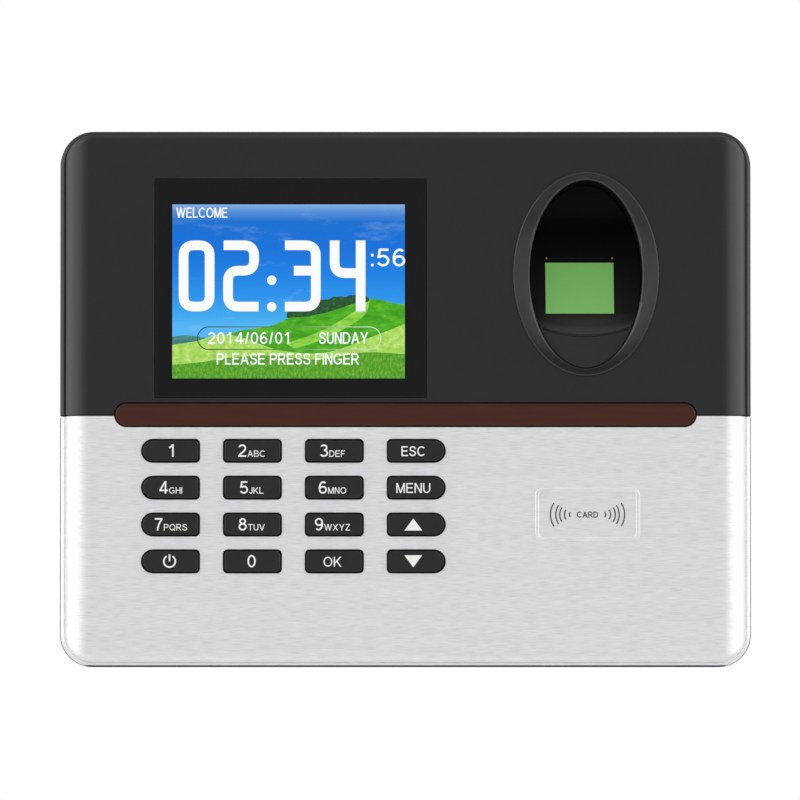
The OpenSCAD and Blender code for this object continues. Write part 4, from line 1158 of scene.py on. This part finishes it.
def make_landscape():
    """A plain wallpaper of sky, hills, trees and grass."""
    layer("display_sky", lit_sky("lit_sky", PICTURE_FOOT, PICTURE_FOOT + PICTURE_H),
          rounded(PICTURE, PICTURE_W - 0.02, PICTURE_H - 0.02, 0), 1)
    far = lit_field("lit_far_trees", 1.2, (0.35, srgb(46, 112, 120)), (0.7, srgb(92, 152, 132)))
    ground("display_far_trees", far, [(0.02, 10.3), (4, 10.6), (9, 9.9), (16, 9.6), (30, 9.4)], 2)
    hill = lit_field("lit_hill", (4.0, 2.0, 1.6), (0.3, srgb(52, 138, 20)),
                     (0.5, srgb(70, 168, 26)), (0.7, srgb(110, 196, 44)))
    ground("display_hill", hill,
           [(0.02, 7.8), (8, 9.4), (16, 11.6), (24, 12.9), (30, 15.4), (38, 17.4), (44, 19.3),
            (50, 19.6), (54, 18.7), (57.28, 18.2)], 3)
    trees = lit_field("lit_grove", (0.9, 1.0, 0.7), (0.35, srgb(24, 60, 40)),
                      (0.55, srgb(44, 92, 50)), (0.75, srgb(70, 124, 62)))
    canopy = ragged([(28.2, 15.6), (31, 18.0), (36, 19.0), (41, 19.4), (46, 20.2), (48.5, 19.4)],
                    0.9, 0.31, 0.4)
    under = [(48.5, 19.0), (44, 18.2), (38, 16.2), (33, 15.2), (28.2, 14.9)]
    layer("display_grove", trees, [picture_point(u, v) for u, v in
                                   [*under[::-1], *canopy[::-1]]], 4)
    slope = lit_field("lit_slope", (3.0, 2.0, 0.9), (0.3, srgb(96, 182, 40)),
                      (0.55, srgb(150, 214, 76)), (0.75, srgb(196, 234, 128)))
    band = smooth([(28, 8.6), (34, 10.6), (40, 13.4), (45, 16.6), (48.6, 19.2)])
    back = smooth([(48.6, 19.2), (47.4, 15.6), (42, 12.0), (36, 9.2), (30, 7.4)])
    layer("display_slope", slope, [picture_point(u, v) for u, v in band + back[1:]], 5)
    light = lit_field("lit_meadow", (1.6, 2.0, 1.4), (0.3, srgb(140, 198, 66)),
                      (0.52, srgb(172, 218, 98)), (0.75, srgb(220, 242, 156)))
    ground("display_meadow", light,
           [(0.02, 8.3), (6, 9.2), (12, 10.9), (18, 9.8), (27, 6.8), (38, 6.4), (48, 9.8),
            (57.28, 13.4)], 6)
    grass = lit_field("lit_grass", (0.55, 2.0, 1.1), (0.3, srgb(66, 130, 30)),
                      (0.5, srgb(86, 160, 40)), (0.72, srgb(134, 192, 62)))
    ground("display_grass", grass,
           [(0.02, 3.4), (7, 4.0), (15, 5.2), (26, 5.6), (36, 4.6), (47, 6.4), (57.28, 6.0)], 7)


DIGIT_W = 8.8
DIGIT_H = 17.5
PEN = 2.38
DIGIT_R = 2.6
DIGIT_LEFT = [1.6, 12.55, 27.75, 38.8]
DIGIT_FOOT = 16.5
DIGIT_WAIST = 10.05
COLON_U = 24.5
COLON_R = 1.15
TEXT_LEVEL = 9
PILL_AT = (28.8, 9.9)
PILL_W = 45.4
PILL_H = 5.8
PILL_PEN = 0.25


def corner_path(corners, r):
    """A line through corners, each inner one rounded by r."""
    path = [corners[0]]
    for before, corner, after in zip(corners, corners[1:], corners[2:]):
        p, q, s = Vector(before), Vector(corner), Vector(after)
        into, out = (q - p).normalized(), (s - q).normalized()
        start, end = q - into * r, q + out * r
        for i in range(9):
            t = i / 8
            path.append(tuple((1 - t) ** 2 * start + 2 * t * (1 - t) * q + t * t * end))
    return [*path, corners[-1]]


def make_clock(look):
    """The big time in square digits with round corners."""
    d = DISPLAY_D + TEXT_LEVEL * LAYER
    solid = Solid()
    l, r = PEN / 2, DIGIT_W - PEN / 2
    b, m, t = PEN / 2, DIGIT_WAIST, DIGIT_H - PEN / 2
    shapes = {
        "0": [[(l, m), (l, t), (r, t), (r, b), (l, b), (l, m)]],
        "2": [[(0.1, t), (r, t), (r, m), (l, m), (l, b), (DIGIT_W - 0.1, b)]],
        "3": [[(0, t), (r, t), (r, b), (0, b)], [(2.2, m), (r, m)]],
        "4": [[(l, DIGIT_H), (l, m - 0.6), (r, m - 0.6)], [(r, DIGIT_H), (r, 0)]],
    }
    outlines = []
    for digit, left in zip("0234", DIGIT_LEFT):
        for corners in shapes[digit]:
            outlines.append(stroke([picture_point(left + u, DIGIT_FOOT + v)
                                    for u, v in corner_path(corners, DIGIT_R)], PEN))
    solid.flat(outlines, d - LAYER, d)
    for v in (DIGIT_FOOT + COLON_R, DIGIT_FOOT + 7.7):
        solid.rod(picture_point(COLON_U, v), COLON_R, d - LAYER, d, edge=0.001)
    solid.piece("display_time", look, "lcd_glass", stands_for=False)


def screen_text(name, text, look, u, v, height, width):
    """A line of text on the display, from its lower left corner."""
    lettering(name, text, look, *picture_point(u, v), height, DISPLAY_D + TEXT_LEVEL * LAYER,
              "lcd_glass", width=width, thick=LAYER / 2)


def make_display():
    """The lit picture: landscape, clock, lines of text and the outline round the date."""
    make_landscape()
    white = lit_plain("lit_white", srgb(250, 252, 255))
    make_clock(white)
    screen_text("display_seconds", ":56", white, 48.9, 27.6, 4.4, 8.5)
    screen_text("display_greeting", "WELCOME", white, 1.0, 39.6, 2.5, 12.6)
    screen_text("display_date", "2014/06/01", white, 8.8, 8.5, 2.9, 20.6)
    screen_text("display_weekday", "SUNDAY", white, 36.2, 8.5, 2.9, 12.0)
    screen_text("display_hint", "PLEASE PRESS FINGER", white, 11.0, 3.4, 2.8, 35.0)
    pill = Solid()
    centre = picture_point(*PILL_AT)
    outline = rounded(centre, PILL_W, PILL_H, PILL_H / 2)
    inner = rounded(centre, PILL_W - 2 * PILL_PEN, PILL_H - 2 * PILL_PEN, PILL_H / 2 - PILL_PEN)
    d = DISPLAY_D + (TEXT_LEVEL - 1) * LAYER
    pill.stack([(outline, d - LAYER / 2), (outline, d), (inner, d), (inner, d - LAYER / 2)],
               closed=True)
    pill.piece("display_pill", lit_pill(centre[0], PILL_W), "lcd_glass", stands_for=False)


# ---------- Finger well ----------

WELL_AT = middle(BEZEL)
WELL_A = 13.9
WELL_B = 23.2
BEZEL_A = BEZEL.x1 - WELL_AT[0]
BEZEL_B = BEZEL.z1 - WELL_AT[1]
BEZEL_EDGE = 0.28
FUNNEL_FOOT = 33.6
FUNNEL_FROM = 0.08
FUNNEL_LIFT = 0.68
PLATEN = (43.1, 27.63)
PLATEN_D = 24
PLATEN_W = 16.9
PLATEN_L = 15.3
TILT = math.radians(32.2)
LEDGE_Z = 15.75
LEDGE_BOW = 1.9
LEDGE_HALF = 11
LEDGE_D = 31.6
RAMP_SLOPE = 0.2243
POCKET_D = 13


def make_bezel():
    """The raised oval rim and its funnel; both edges are rounded, and a lighter colour on them is a
    painted highlight.
    """
    solid = Solid()

    def oval(inward, share=0.0):
        """From the rim's outer edge (share 0) to the opening (share 1), less a small inset."""
        a = BEZEL_A + (WELL_A - BEZEL_A) * share - inward
        b = BEZEL_B + (WELL_B - BEZEL_B) * share - inward
        return ellipse(WELL_AT, a, b)
    rings = [(oval(0.75), BEZEL.d0), (oval(0.75), FACE + 0.02), (oval(0.1), FACE + 0.02)]
    rings += [(oval(inset), BEZEL.d1 - drop) for inset, drop in rounding(BEZEL_EDGE, 4)]
    fall = (BEZEL.d1 - FUNNEL_FOOT) * 0.93

    def funnel(share, deeper=0.0):
        """Depth of the funnel; it falls less at the top of the oval than elsewhere."""
        def depth(x, z):
            high = ease(((z - WELL_AT[1]) / BEZEL_B - 0.45) / 0.45)
            along = max(0.0, share - FUNNEL_FROM) / (1 - FUNNEL_FROM)
            return BEZEL.d1 - deeper - fall * (1 - FUNNEL_LIFT * high) * along
        return depth
    for share in (0.10, 0.14, 0.18, 0.25, 0.4, 0.55, 0.7, 0.82, 0.9, 0.95):
        rings.append((oval(0.05, share), funnel(share, 0.17 * math.sin(math.pi * share))))
    for i in range(1, 7):
        a = math.pi / 12 * i
        rings.append((oval(0.3 * math.sin(a) - 0.3, 1.0),
                      funnel(0.97, 0.45 * (1 - math.cos(a)))))
    solid.stack([*rings, (oval(0, 1.0), BEZEL.d0)], closed=True)

    def painted_highlight_band(x, z, d):
        """True on the rim's outer edge and round its opening, which are painted lighter as a
        highlight.
        """
        dx, dz = x - WELL_AT[0], z - WELL_AT[1]
        return (math.hypot(dx / (BEZEL_A - 0.25), dz / (BEZEL_B - 0.25)) > 1
                or math.hypot(dx / (WELL_A + 0.5), dz / (WELL_B + 0.4)) < 1)
    solid.piece("finger_bezel_ring", LOOKS["bezel_black"], "finger_bezel", sharp=40,
                other=(LOOKS["bezel_painted_highlight"], painted_highlight_band))


def ledge_line(x):
    """Height of the bowed ledge under the platen."""
    return LEDGE_Z + LEDGE_BOW * ((x - WELL_AT[0]) / LEDGE_HALF) ** 2


def platen_plane(z):
    """Depth of the platen's sloping plane."""
    return PLATEN_D - math.tan(TILT) * (z - PLATEN[1])


def ease(t):
    """A smooth step from 0 to 1."""
    t = min(max(t, 0.0), 1.0)
    return t * t * (3 - 2 * t)


def well_floor(x, z):
    """Depth of the well's floor: ramp, ledge, then the platen's slope up to the well's end."""
    u = z - ledge_line(x)
    hollow = 0.5 * max(0.0, 1 - ((x - WELL_AT[0]) / WELL_A) ** 2)
    if u < 0:
        crease = 0.32 * max(0.0, 1 - abs(u + 0.3) / 0.3)
        return LEDGE_D - u * RAMP_SLOPE - hollow * ease(-u / 4) - crease
    slope = platen_plane(z) - 0.02
    if u < 3:
        bead = 0.3 * math.sin(math.pi * min(u / 0.8, 1.0))
        return LEDGE_D + bead + (slope - LEDGE_D) * ease(u / 3)
    above = slope - POCKET_D
    return POCKET_D + (above + math.hypot(above, 1)) / 2


def well_lines():
    """Lines across the floor: along the ledge, and level ones above and below it."""
    lines = []

    def clip(points):
        """The points that lie in the well, a little in from its wall."""
        return [(x, z) for x, z in points
                if math.hypot((x - WELL_AT[0]) / WELL_A, (z - WELL_AT[1]) / WELL_B) < 0.97]
    xs = [WELL_AT[0] + i * 0.7 for i in range(-19, 20)]
    for u in (-6.5, -5.2, -4, -3, -2, -1.2, -0.75, -0.6, -0.45, -0.3, -0.15, 0, 0.1, 0.2, 0.3,
              0.4, 0.5, 0.65, 0.8, 0.9, 1.2, 1.6, 2.0, 2.5, 3.0):
        lines.append(clip([(x, ledge_line(x) + u) for x in xs]))
    for z in (22, 25, 28, 31, 34, 37, 40, 42, 43, 44, 44.7, 45.4, 46.1, 47, 48, 49.5, 51):
        lines.append(clip([(x, z) for x in xs]))
    return [line for line in lines if len(line) > 1]


def make_well():
    """The well's cup: its wall, its floor and a lip that the bezel stands on."""
    solid = Solid()
    inner = ellipse(WELL_AT, WELL_A - 0.02, WELL_B - 0.02)
    floor_edge = ellipse(WELL_AT, WELL_A - 0.26, WELL_B - 0.26)
    outer = ellipse(WELL_AT, WELL_A + 1.6, WELL_B + 1.6)
    top = BEZEL.d0 - 0.02

    def back(x, z):
        return min(well_floor(x, z) - 1.6, top - 1.2)

    def wall_top(x, z):
        return max(top, well_floor(x, z) + 0.02)

    def moat(x, z):
        return well_floor(x, z) - 0.5
    back_ring, floor_ring = solid.stack([(outer, back), (outer, top), (inner, wall_top),
                                         (inner, moat), (floor_edge, moat),
                                         (floor_edge, well_floor)])
    lines = well_lines()
    solid.fill(floor_ring, (), lines, well_floor)
    solid.fill(back_ring, (), lines, back)
    # The well's look is painted darker towards its top as the shade of the recess
    solid.piece("finger_well_cup", LOOKS["well_black"], "finger_well", sharp=50,
                other=(LOOKS["scoop"], lambda x, z, d: z < ledge_line(x) - 0.25))


def on_platen(u, v, n):
    """A point over the platen: u across, v up its slope, n out of the glass."""
    return at(PLATEN[0] + u, PLATEN[1] + v * math.cos(TILT) + n * math.sin(TILT),
              PLATEN_D - v * math.sin(TILT) + n * math.cos(TILT))


def platen_block(name, look, centre, w, l, low, high, edge, node, slot=None, stands_for=False):
    """A block lying on the platen's slope, with rounded top edges."""
    solid = Solid()
    rings = []
    for inset, n in [(0, low), *((inset, high - drop) for inset, drop in rounding(edge, 3))]:
        outline = rounded(centre, w - 2 * inset, l - 2 * inset, 0.15, steps=3)
        rings.append([solid.bm.verts.new(on_platen(u, v, n)) for u, v in outline])
    solid.loft(rings)
    solid.piece(name, look, node, slot, stands_for)


def make_sensor():
    """The green platen, the thin strip above it and its two small lamps."""
    platen_block("platen", LOOKS["platen_glass"], (0, 0), PLATEN_W, PLATEN_L, -2, 0.12, 0.1,
                 "sensor_prism", stands_for=True)
    platen_block("platen_strip", LOOKS["strip_dark"], (0, PLATEN_L / 2 + 1.25), PLATEN_W - 0.4,
                 0.28, -0.3, 0.3, 0.08, "finger_well")
    for side in (-1, 1):
        platen_block(f"platen_lamp_{'left' if side < 0 else 'right'}", LOOKS["lamp_dot"],
                     (side * (PLATEN_W / 2 - 0.3), PLATEN_L / 2 + 1.3), 0.36, 0.5, -0.3, 0.42,
                     0.12, "finger_well", slot="led_white")


# ---------- Keys ----------

LEGEND_SHIFT = 0.1
LEGEND_STEP = -0.28
DIGIT_TALL = 3.08
LETTER_TALL = 1.6
WORD_TALL = 2.45
LETTER_GAP = 0.16
LETTER_NARROW = 0.92
KEY_PRINT_T = 0.02
DIGIT_DROP = 1.5
DIGIT_GAP = 0.28
ONE_SHIFT = 0.4
SIGN_PEN = 0.4
ARROW_HALF = 2.2
ARROW_RISE = 1.5
POWER_R = 1.42
POWER_SHIFT = 0.3
LEGENDS = {"key_1": ("1", ""), "key_2": ("2", "ABC"), "key_3": ("3", "DEF"),
           "key_4": ("4", "GHI"), "key_5": ("5", "JKL"), "key_6": ("6", "MNO"),
           "key_7": ("7", "PQRS"), "key_8": ("8", "TUV"), "key_9": ("9", "WXYZ"),
           "key_0": ("0", "")}
WORDS = {"key_esc": ("ESC", 5.8), "key_menu": ("MENU", 8.35), "key_ok": ("OK", 4.4)}


def make_key(name):
    """One cap with its flange; the cap's front edge is rounded."""
    solid = Solid()
    box = cad(name)
    flange = key_outline(name, KEY_FLANGE)
    solid.block([(flange, box.d0), (flange, FLANGE_FRONT),
                 (key_outline(name, -CAP_INSET), FLANGE_FRONT),
                 *((key_outline(name, -CAP_INSET - inset), box.d1 - drop)
                   for inset, drop in FRONT_EDGE)])
    solid.piece(name + "_cap", LOOKS["key_black"], name)


def make_legend(name):
    """The white print on a key: a digit with letters, a word, an arrow or the power sign."""
    box = cad(name)
    x, z = middle(box)
    x += LEGEND_SHIFT + LEGEND_STEP * KEYS[name][1]
    d = box.d1 + 0.003
    white = LOOKS["ink_white"]
    base = z - DIGIT_DROP
    if name in LEGENDS:
        digit, letters = LEGENDS[name]
        wide = text_extent(digit, LETTER_GAP) * DIGIT_TALL
        gap = DIGIT_GAP if letters else 0
        tail = text_extent(letters, LETTER_GAP) * LETTER_TALL * LETTER_NARROW if letters else 0
        left = x - (wide + gap + tail) / 2
        if digit == "1":
            left += ONE_SHIFT
        lettering(name + "_digit", digit, white, left, base, DIGIT_TALL, d, name, thick=KEY_PRINT_T)
        if letters:
            lettering(name + "_letters", letters, white, left + wide + gap, base, LETTER_TALL, d,
                      name, width=tail, thick=KEY_PRINT_T)
    elif name in WORDS:
        word, wide = WORDS[name]
        lettering(name + "_word", word, white, x, z - WORD_TALL / 2 - 0.1, WORD_TALL, d, name,
                  width=wide, align=0.5, thick=KEY_PRINT_T)
    else:
        make_sign(name, x, z, d, white)


def make_sign(name, x, z, d, look):
    """A triangle, or a broken circle with a bar."""
    if name == "key_power":
        x -= POWER_SHIFT
        outlines = [stroke(bow(x, z, POWER_R, POWER_R, 120, 420, 40), SIGN_PEN),
                    stroke([(x, z), (x, z + 1.75)], SIGN_PEN)]
    else:
        rise = ARROW_RISE if name == "key_up" else -ARROW_RISE
        outlines = [[(x - ARROW_HALF, z - rise), (x + ARROW_HALF, z - rise), (x, z + rise)]]
    solid = Solid()
    solid.flat(outlines, d, d + KEY_PRINT_T)
    solid.piece(name + "_sign", look, name, stands_for=False)


# ---------- Small parts behind ----------

def tube_along(solid, path, r, sides=10):
    """A round wire through a list of Blender points."""
    rings = []
    for i, p in enumerate(path):
        ahead = (path[min(i + 1, len(path) - 1)] - path[max(i - 1, 0)]).normalized()
        side = ahead.cross(Vector((0, 1, 0)))
        side = side.normalized() if side.length > 1e-6 else Vector((1, 0, 0))
        other = ahead.cross(side).normalized()
        rings.append([solid.bm.verts.new(p + r * MM * (math.cos(t) * side + math.sin(t) * other))
                      for t in (2 * math.pi * k / sides for k in range(sides))])
    solid.loft(rings)


MAT_T = 1
MAT_HOLE_R = 2
DOME_FOOT_R = 2.6
DOME_TIP_R = 1.7
DOME_BORE = 1.3
DOME_HOLLOW = 0.8


def make_key_mat():
    """The silicone sheet behind the keys, and a dome on it under each key, each with a mesh of its
    own.
    """
    box = cad("keypad_mat")
    front = box.d0 + MAT_T
    spots = {name: middle(cad(name)) for name in KEYS}
    bores = [(spot, DOME_BORE) for spot in spots.values()]
    bores += [(spot, MAT_HOLE_R) for spot in PAD_POSTS if box.x0 < spot[0] < box.x1]
    solid = Solid()
    outline = rounded(middle(box), box.x1 - box.x0, box.z1 - box.z0, 1.5)
    back_ring, front_ring = solid.stack([(outline, box.d0), (outline, front)])
    walls = [solid.stack([(ellipse(spot, r, r, 24), box.d0), (ellipse(spot, r, r, 24), front)])
             for spot, r in bores]
    solid.fill(back_ring, [wall[0] for wall in walls])
    solid.fill(front_ring, [wall[1] for wall in walls])
    solid.piece("keypad_sheet", LOOKS["silicone_grey"], "keypad_mat")
    for name, spot in spots.items():
        solid = Solid()
        bore = ellipse(spot, DOME_BORE, DOME_BORE, 24)
        foot = ellipse(spot, DOME_FOOT_R, DOME_FOOT_R, 24)
        tip = ellipse(spot, DOME_TIP_R, DOME_TIP_R, 24)
        solid.block([(bore, front + DOME_HOLLOW), (bore, front + HAIR),
                     (foot, front + HAIR), (tip, box.d1 - HAIR)])
        dome = solid.piece(name + "_dome", LOOKS["silicone_grey"], "keypad_mat",
                           stands_for=False)
        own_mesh(dome)


def make_spring():
    """The tamper plunger's coil spring."""
    box = cad("tamper_spring")
    cx, cz = middle(box)
    wire = 0.24
    turns, steps = 6, 24
    r = (box.x1 - box.x0) / 2 - wire
    path = []
    for i in range(turns * steps + 1):
        a = 2 * math.pi * i / steps
        share = i / (turns * steps)
        path.append(at(cx + r * math.cos(a), cz + r * math.sin(a),
                       box.d0 + wire + (box.d1 - box.d0 - 2 * wire) * share))
    solid = Solid()
    tube_along(solid, path, wire)
    coil = solid.piece("tamper_coil", LOOKS["spring_steel"], "tamper_spring", sharp=60)
    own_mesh(coil)


LAN_PITCH = 1.02
# Points of a network pin: up from the socket's foot, and in from its front
LAN_PIN = [(12.9, 1.6), (10, 2.0), (4.5, 4.6), (3.8, 4.7)]
USB_STRIPS = (-3.5, -1.0, 1.0, 3.5)


def make_contacts():
    """Sprung gold contacts in the network and USB sockets, and the terminal block's screws."""
    lan = cad("lan_socket")
    x = middle(lan)[0]
    pins = Solid()
    for i in range(8):
        px = x + (i - 3.5) * LAN_PITCH
        tube_along(pins, [at(px, lan.z0 + up, lan.d1 - into) for up, into in LAN_PIN], 0.2, 8)
    pins.piece("lan_contacts", LOOKS["gold"], "lan_socket", slot="copper_trace", stands_for=False)
    usb = cad("usb_socket")
    x = middle(usb)[0]
    strips = Solid()
    for px in USB_STRIPS:
        spot = (x + px, usb.z0 + 7.2)
        strips.plate(lambda s, spot=spot: rounded(spot, 1.1 - 2 * s, 8.4 - 2 * s, 0.2),
                     usb.d1 - 3.52, usb.d1 - 3.38, 0.02)
    strips.piece("usb_contacts", LOOKS["gold"], "usb_socket", slot="copper_trace",
                 stands_for=False)
    block = cad("terminal_block")
    pitch = (block.x1 - block.x0) / 5
    screws = Solid()
    for i in range(5):
        p = (block.x0 + (i + 0.5) * pitch, block.z0 + 5)
        screws.rod(p, 1.2, block.d0 + 0.6, block.d0 + 1.9, 0.1)
    screws.piece("block_screws", LOOKS["screw_steel"], "terminal_block", slot="screw_steel",
                 stands_for=False)


# ---------- CAD nodes that stay ----------

def dress_cad():
    """Gives each CAD node that stays in view the material of its slot."""
    for name, obj in frame["nodes"].items():
        if obj.hide_render:
            continue
        obj.data.materials.clear()
        obj.data.materials.append(LOOKS[SLOT_OF[name]])


# ---------- Stage and light ----------

FLOOR_HALF = 1.6
FLOOR_Z = -0.26


def make_stage():
    """A pale floor well below the object, so that its shadow falls outside the view."""
    bm = bmesh.new()
    corners = [bm.verts.new((sx * FLOOR_HALF, sy * FLOOR_HALF + 0.2, FLOOR_Z))
               for sx, sy in ((-1, -1), (1, -1), (1, 1), (-1, 1))]
    bm.faces.new(corners)
    mesh = bpy.data.meshes.new("floor")
    bm.to_mesh(mesh)
    bm.free()
    look = Look("floor_pale", (0.86, 0.86, 0.86), 0.75)
    look.tint(look.noise(300.0, 3.0), 0.01)
    mesh.materials.append(look.material)
    floor = bpy.data.objects.new("floor", mesh)
    bpy.context.scene.collection.objects.link(floor)


# Brightness of the surround by direction: sideways from the middle, then along Y and along Z
SIDE_GLOW = [(0.0, 0.46), (0.35, 0.47), (0.64, 0.58), (0.86, 1.12), (1.0, 1.27)]
DEPTH_GLOW = [(0.0, 0.36), (0.03, 0.5), (0.12, 1.0), (0.55, 1.0), (0.75, 0.8), (0.88, 0.5),
              (0.97, 0.2), (1.0, 0.1)]
HEIGHT_GLOW = [(0.0, 1.2), (0.5, 1.0), (1.0, 0.9)]
GLOW_STRENGTH = 1.62


def make_world():
    """A white surround to the eye; as light, a tent that is bright at its two sides."""
    world = bpy.data.worlds.new("studio")
    bpy.context.scene.world = world
    world.use_nodes = True
    world.node_tree.nodes.clear()
    tree = Nodes(world.node_tree)
    out = tree.node("OutputWorld")
    direction = tree.node("TexCoord")
    split = tree.node("SeparateXYZ")
    tree.link(direction.outputs["Generated"], split.inputs["Vector"])
    sideways = tree.node("Math", operation="ABSOLUTE")
    tree.link(split.outputs["X"], sideways.inputs[0])
    product = None
    for output, lowest, glow in ((sideways.outputs[0], 0.0, SIDE_GLOW),
                                 (split.outputs["Y"], -1.0, DEPTH_GLOW),
                                 (split.outputs["Z"], -1.0, HEIGHT_GLOW)):
        share = tree.to_range(output, 0.0, 1.0, lowest, 1.0)
        graded = tree.ramp(share, *((position, (value,) * 3) for position, value in glow))
        product = tree.mix(1.0, product, graded, "MULTIPLY") if product else graded
    lighting = tree.node("Background")
    lighting.inputs["Strength"].default_value = GLOW_STRENGTH
    tree.link(product, lighting.inputs["Color"])
    seen = tree.node("Background")
    seen.inputs["Color"].default_value = (1, 1, 1, 1)
    seen.inputs["Strength"].default_value = 1.0
    rays = tree.node("LightPath")
    choose = tree.node("MixShader")
    tree.link(rays.outputs["Is Camera Ray"], choose.inputs["Fac"])
    tree.link(lighting.outputs["Background"], choose.inputs[1])
    tree.link(seen.outputs["Background"], choose.inputs[2])
    tree.link(choose.outputs["Shader"], out.inputs["Surface"])


def softbox(name, place_at, size, power):
    """A square area light that looks at the object and that the camera doesn't see."""
    data = bpy.data.lights.new(name, "AREA")
    data.shape = "RECTANGLE"
    data.size, data.size_y = size
    data.energy = power
    lamp = bpy.data.objects.new(name, data)
    lamp.location = place_at
    lamp.rotation_euler = (-Vector(place_at)).to_track_quat("-Z", "Y").to_euler()
    lamp.visible_camera = False
    bpy.context.scene.collection.objects.link(lamp)


def make_lights():
    """Two weak softboxes before the object, at its upper left and upper right."""
    softbox("key_light", (-0.75, -0.75, 0.45), (0.6, 0.45), 1.2)
    softbox("fill_light", (0.75, -0.8, 0.35), (0.6, 0.45), 0.9)


# ---------- Everything ----------

make_covers()
make_card_mark()
make_light_bar()
make_window()
make_display()
make_bezel()
make_well()
make_sensor()
for key in KEYS:
    make_key(key)
    make_legend(key)
make_key_mat()
make_spring()
make_contacts()
dress_cad()
make_stage()
make_world()
make_lights()
bpy.context.scene.view_settings.view_transform = "Standard"
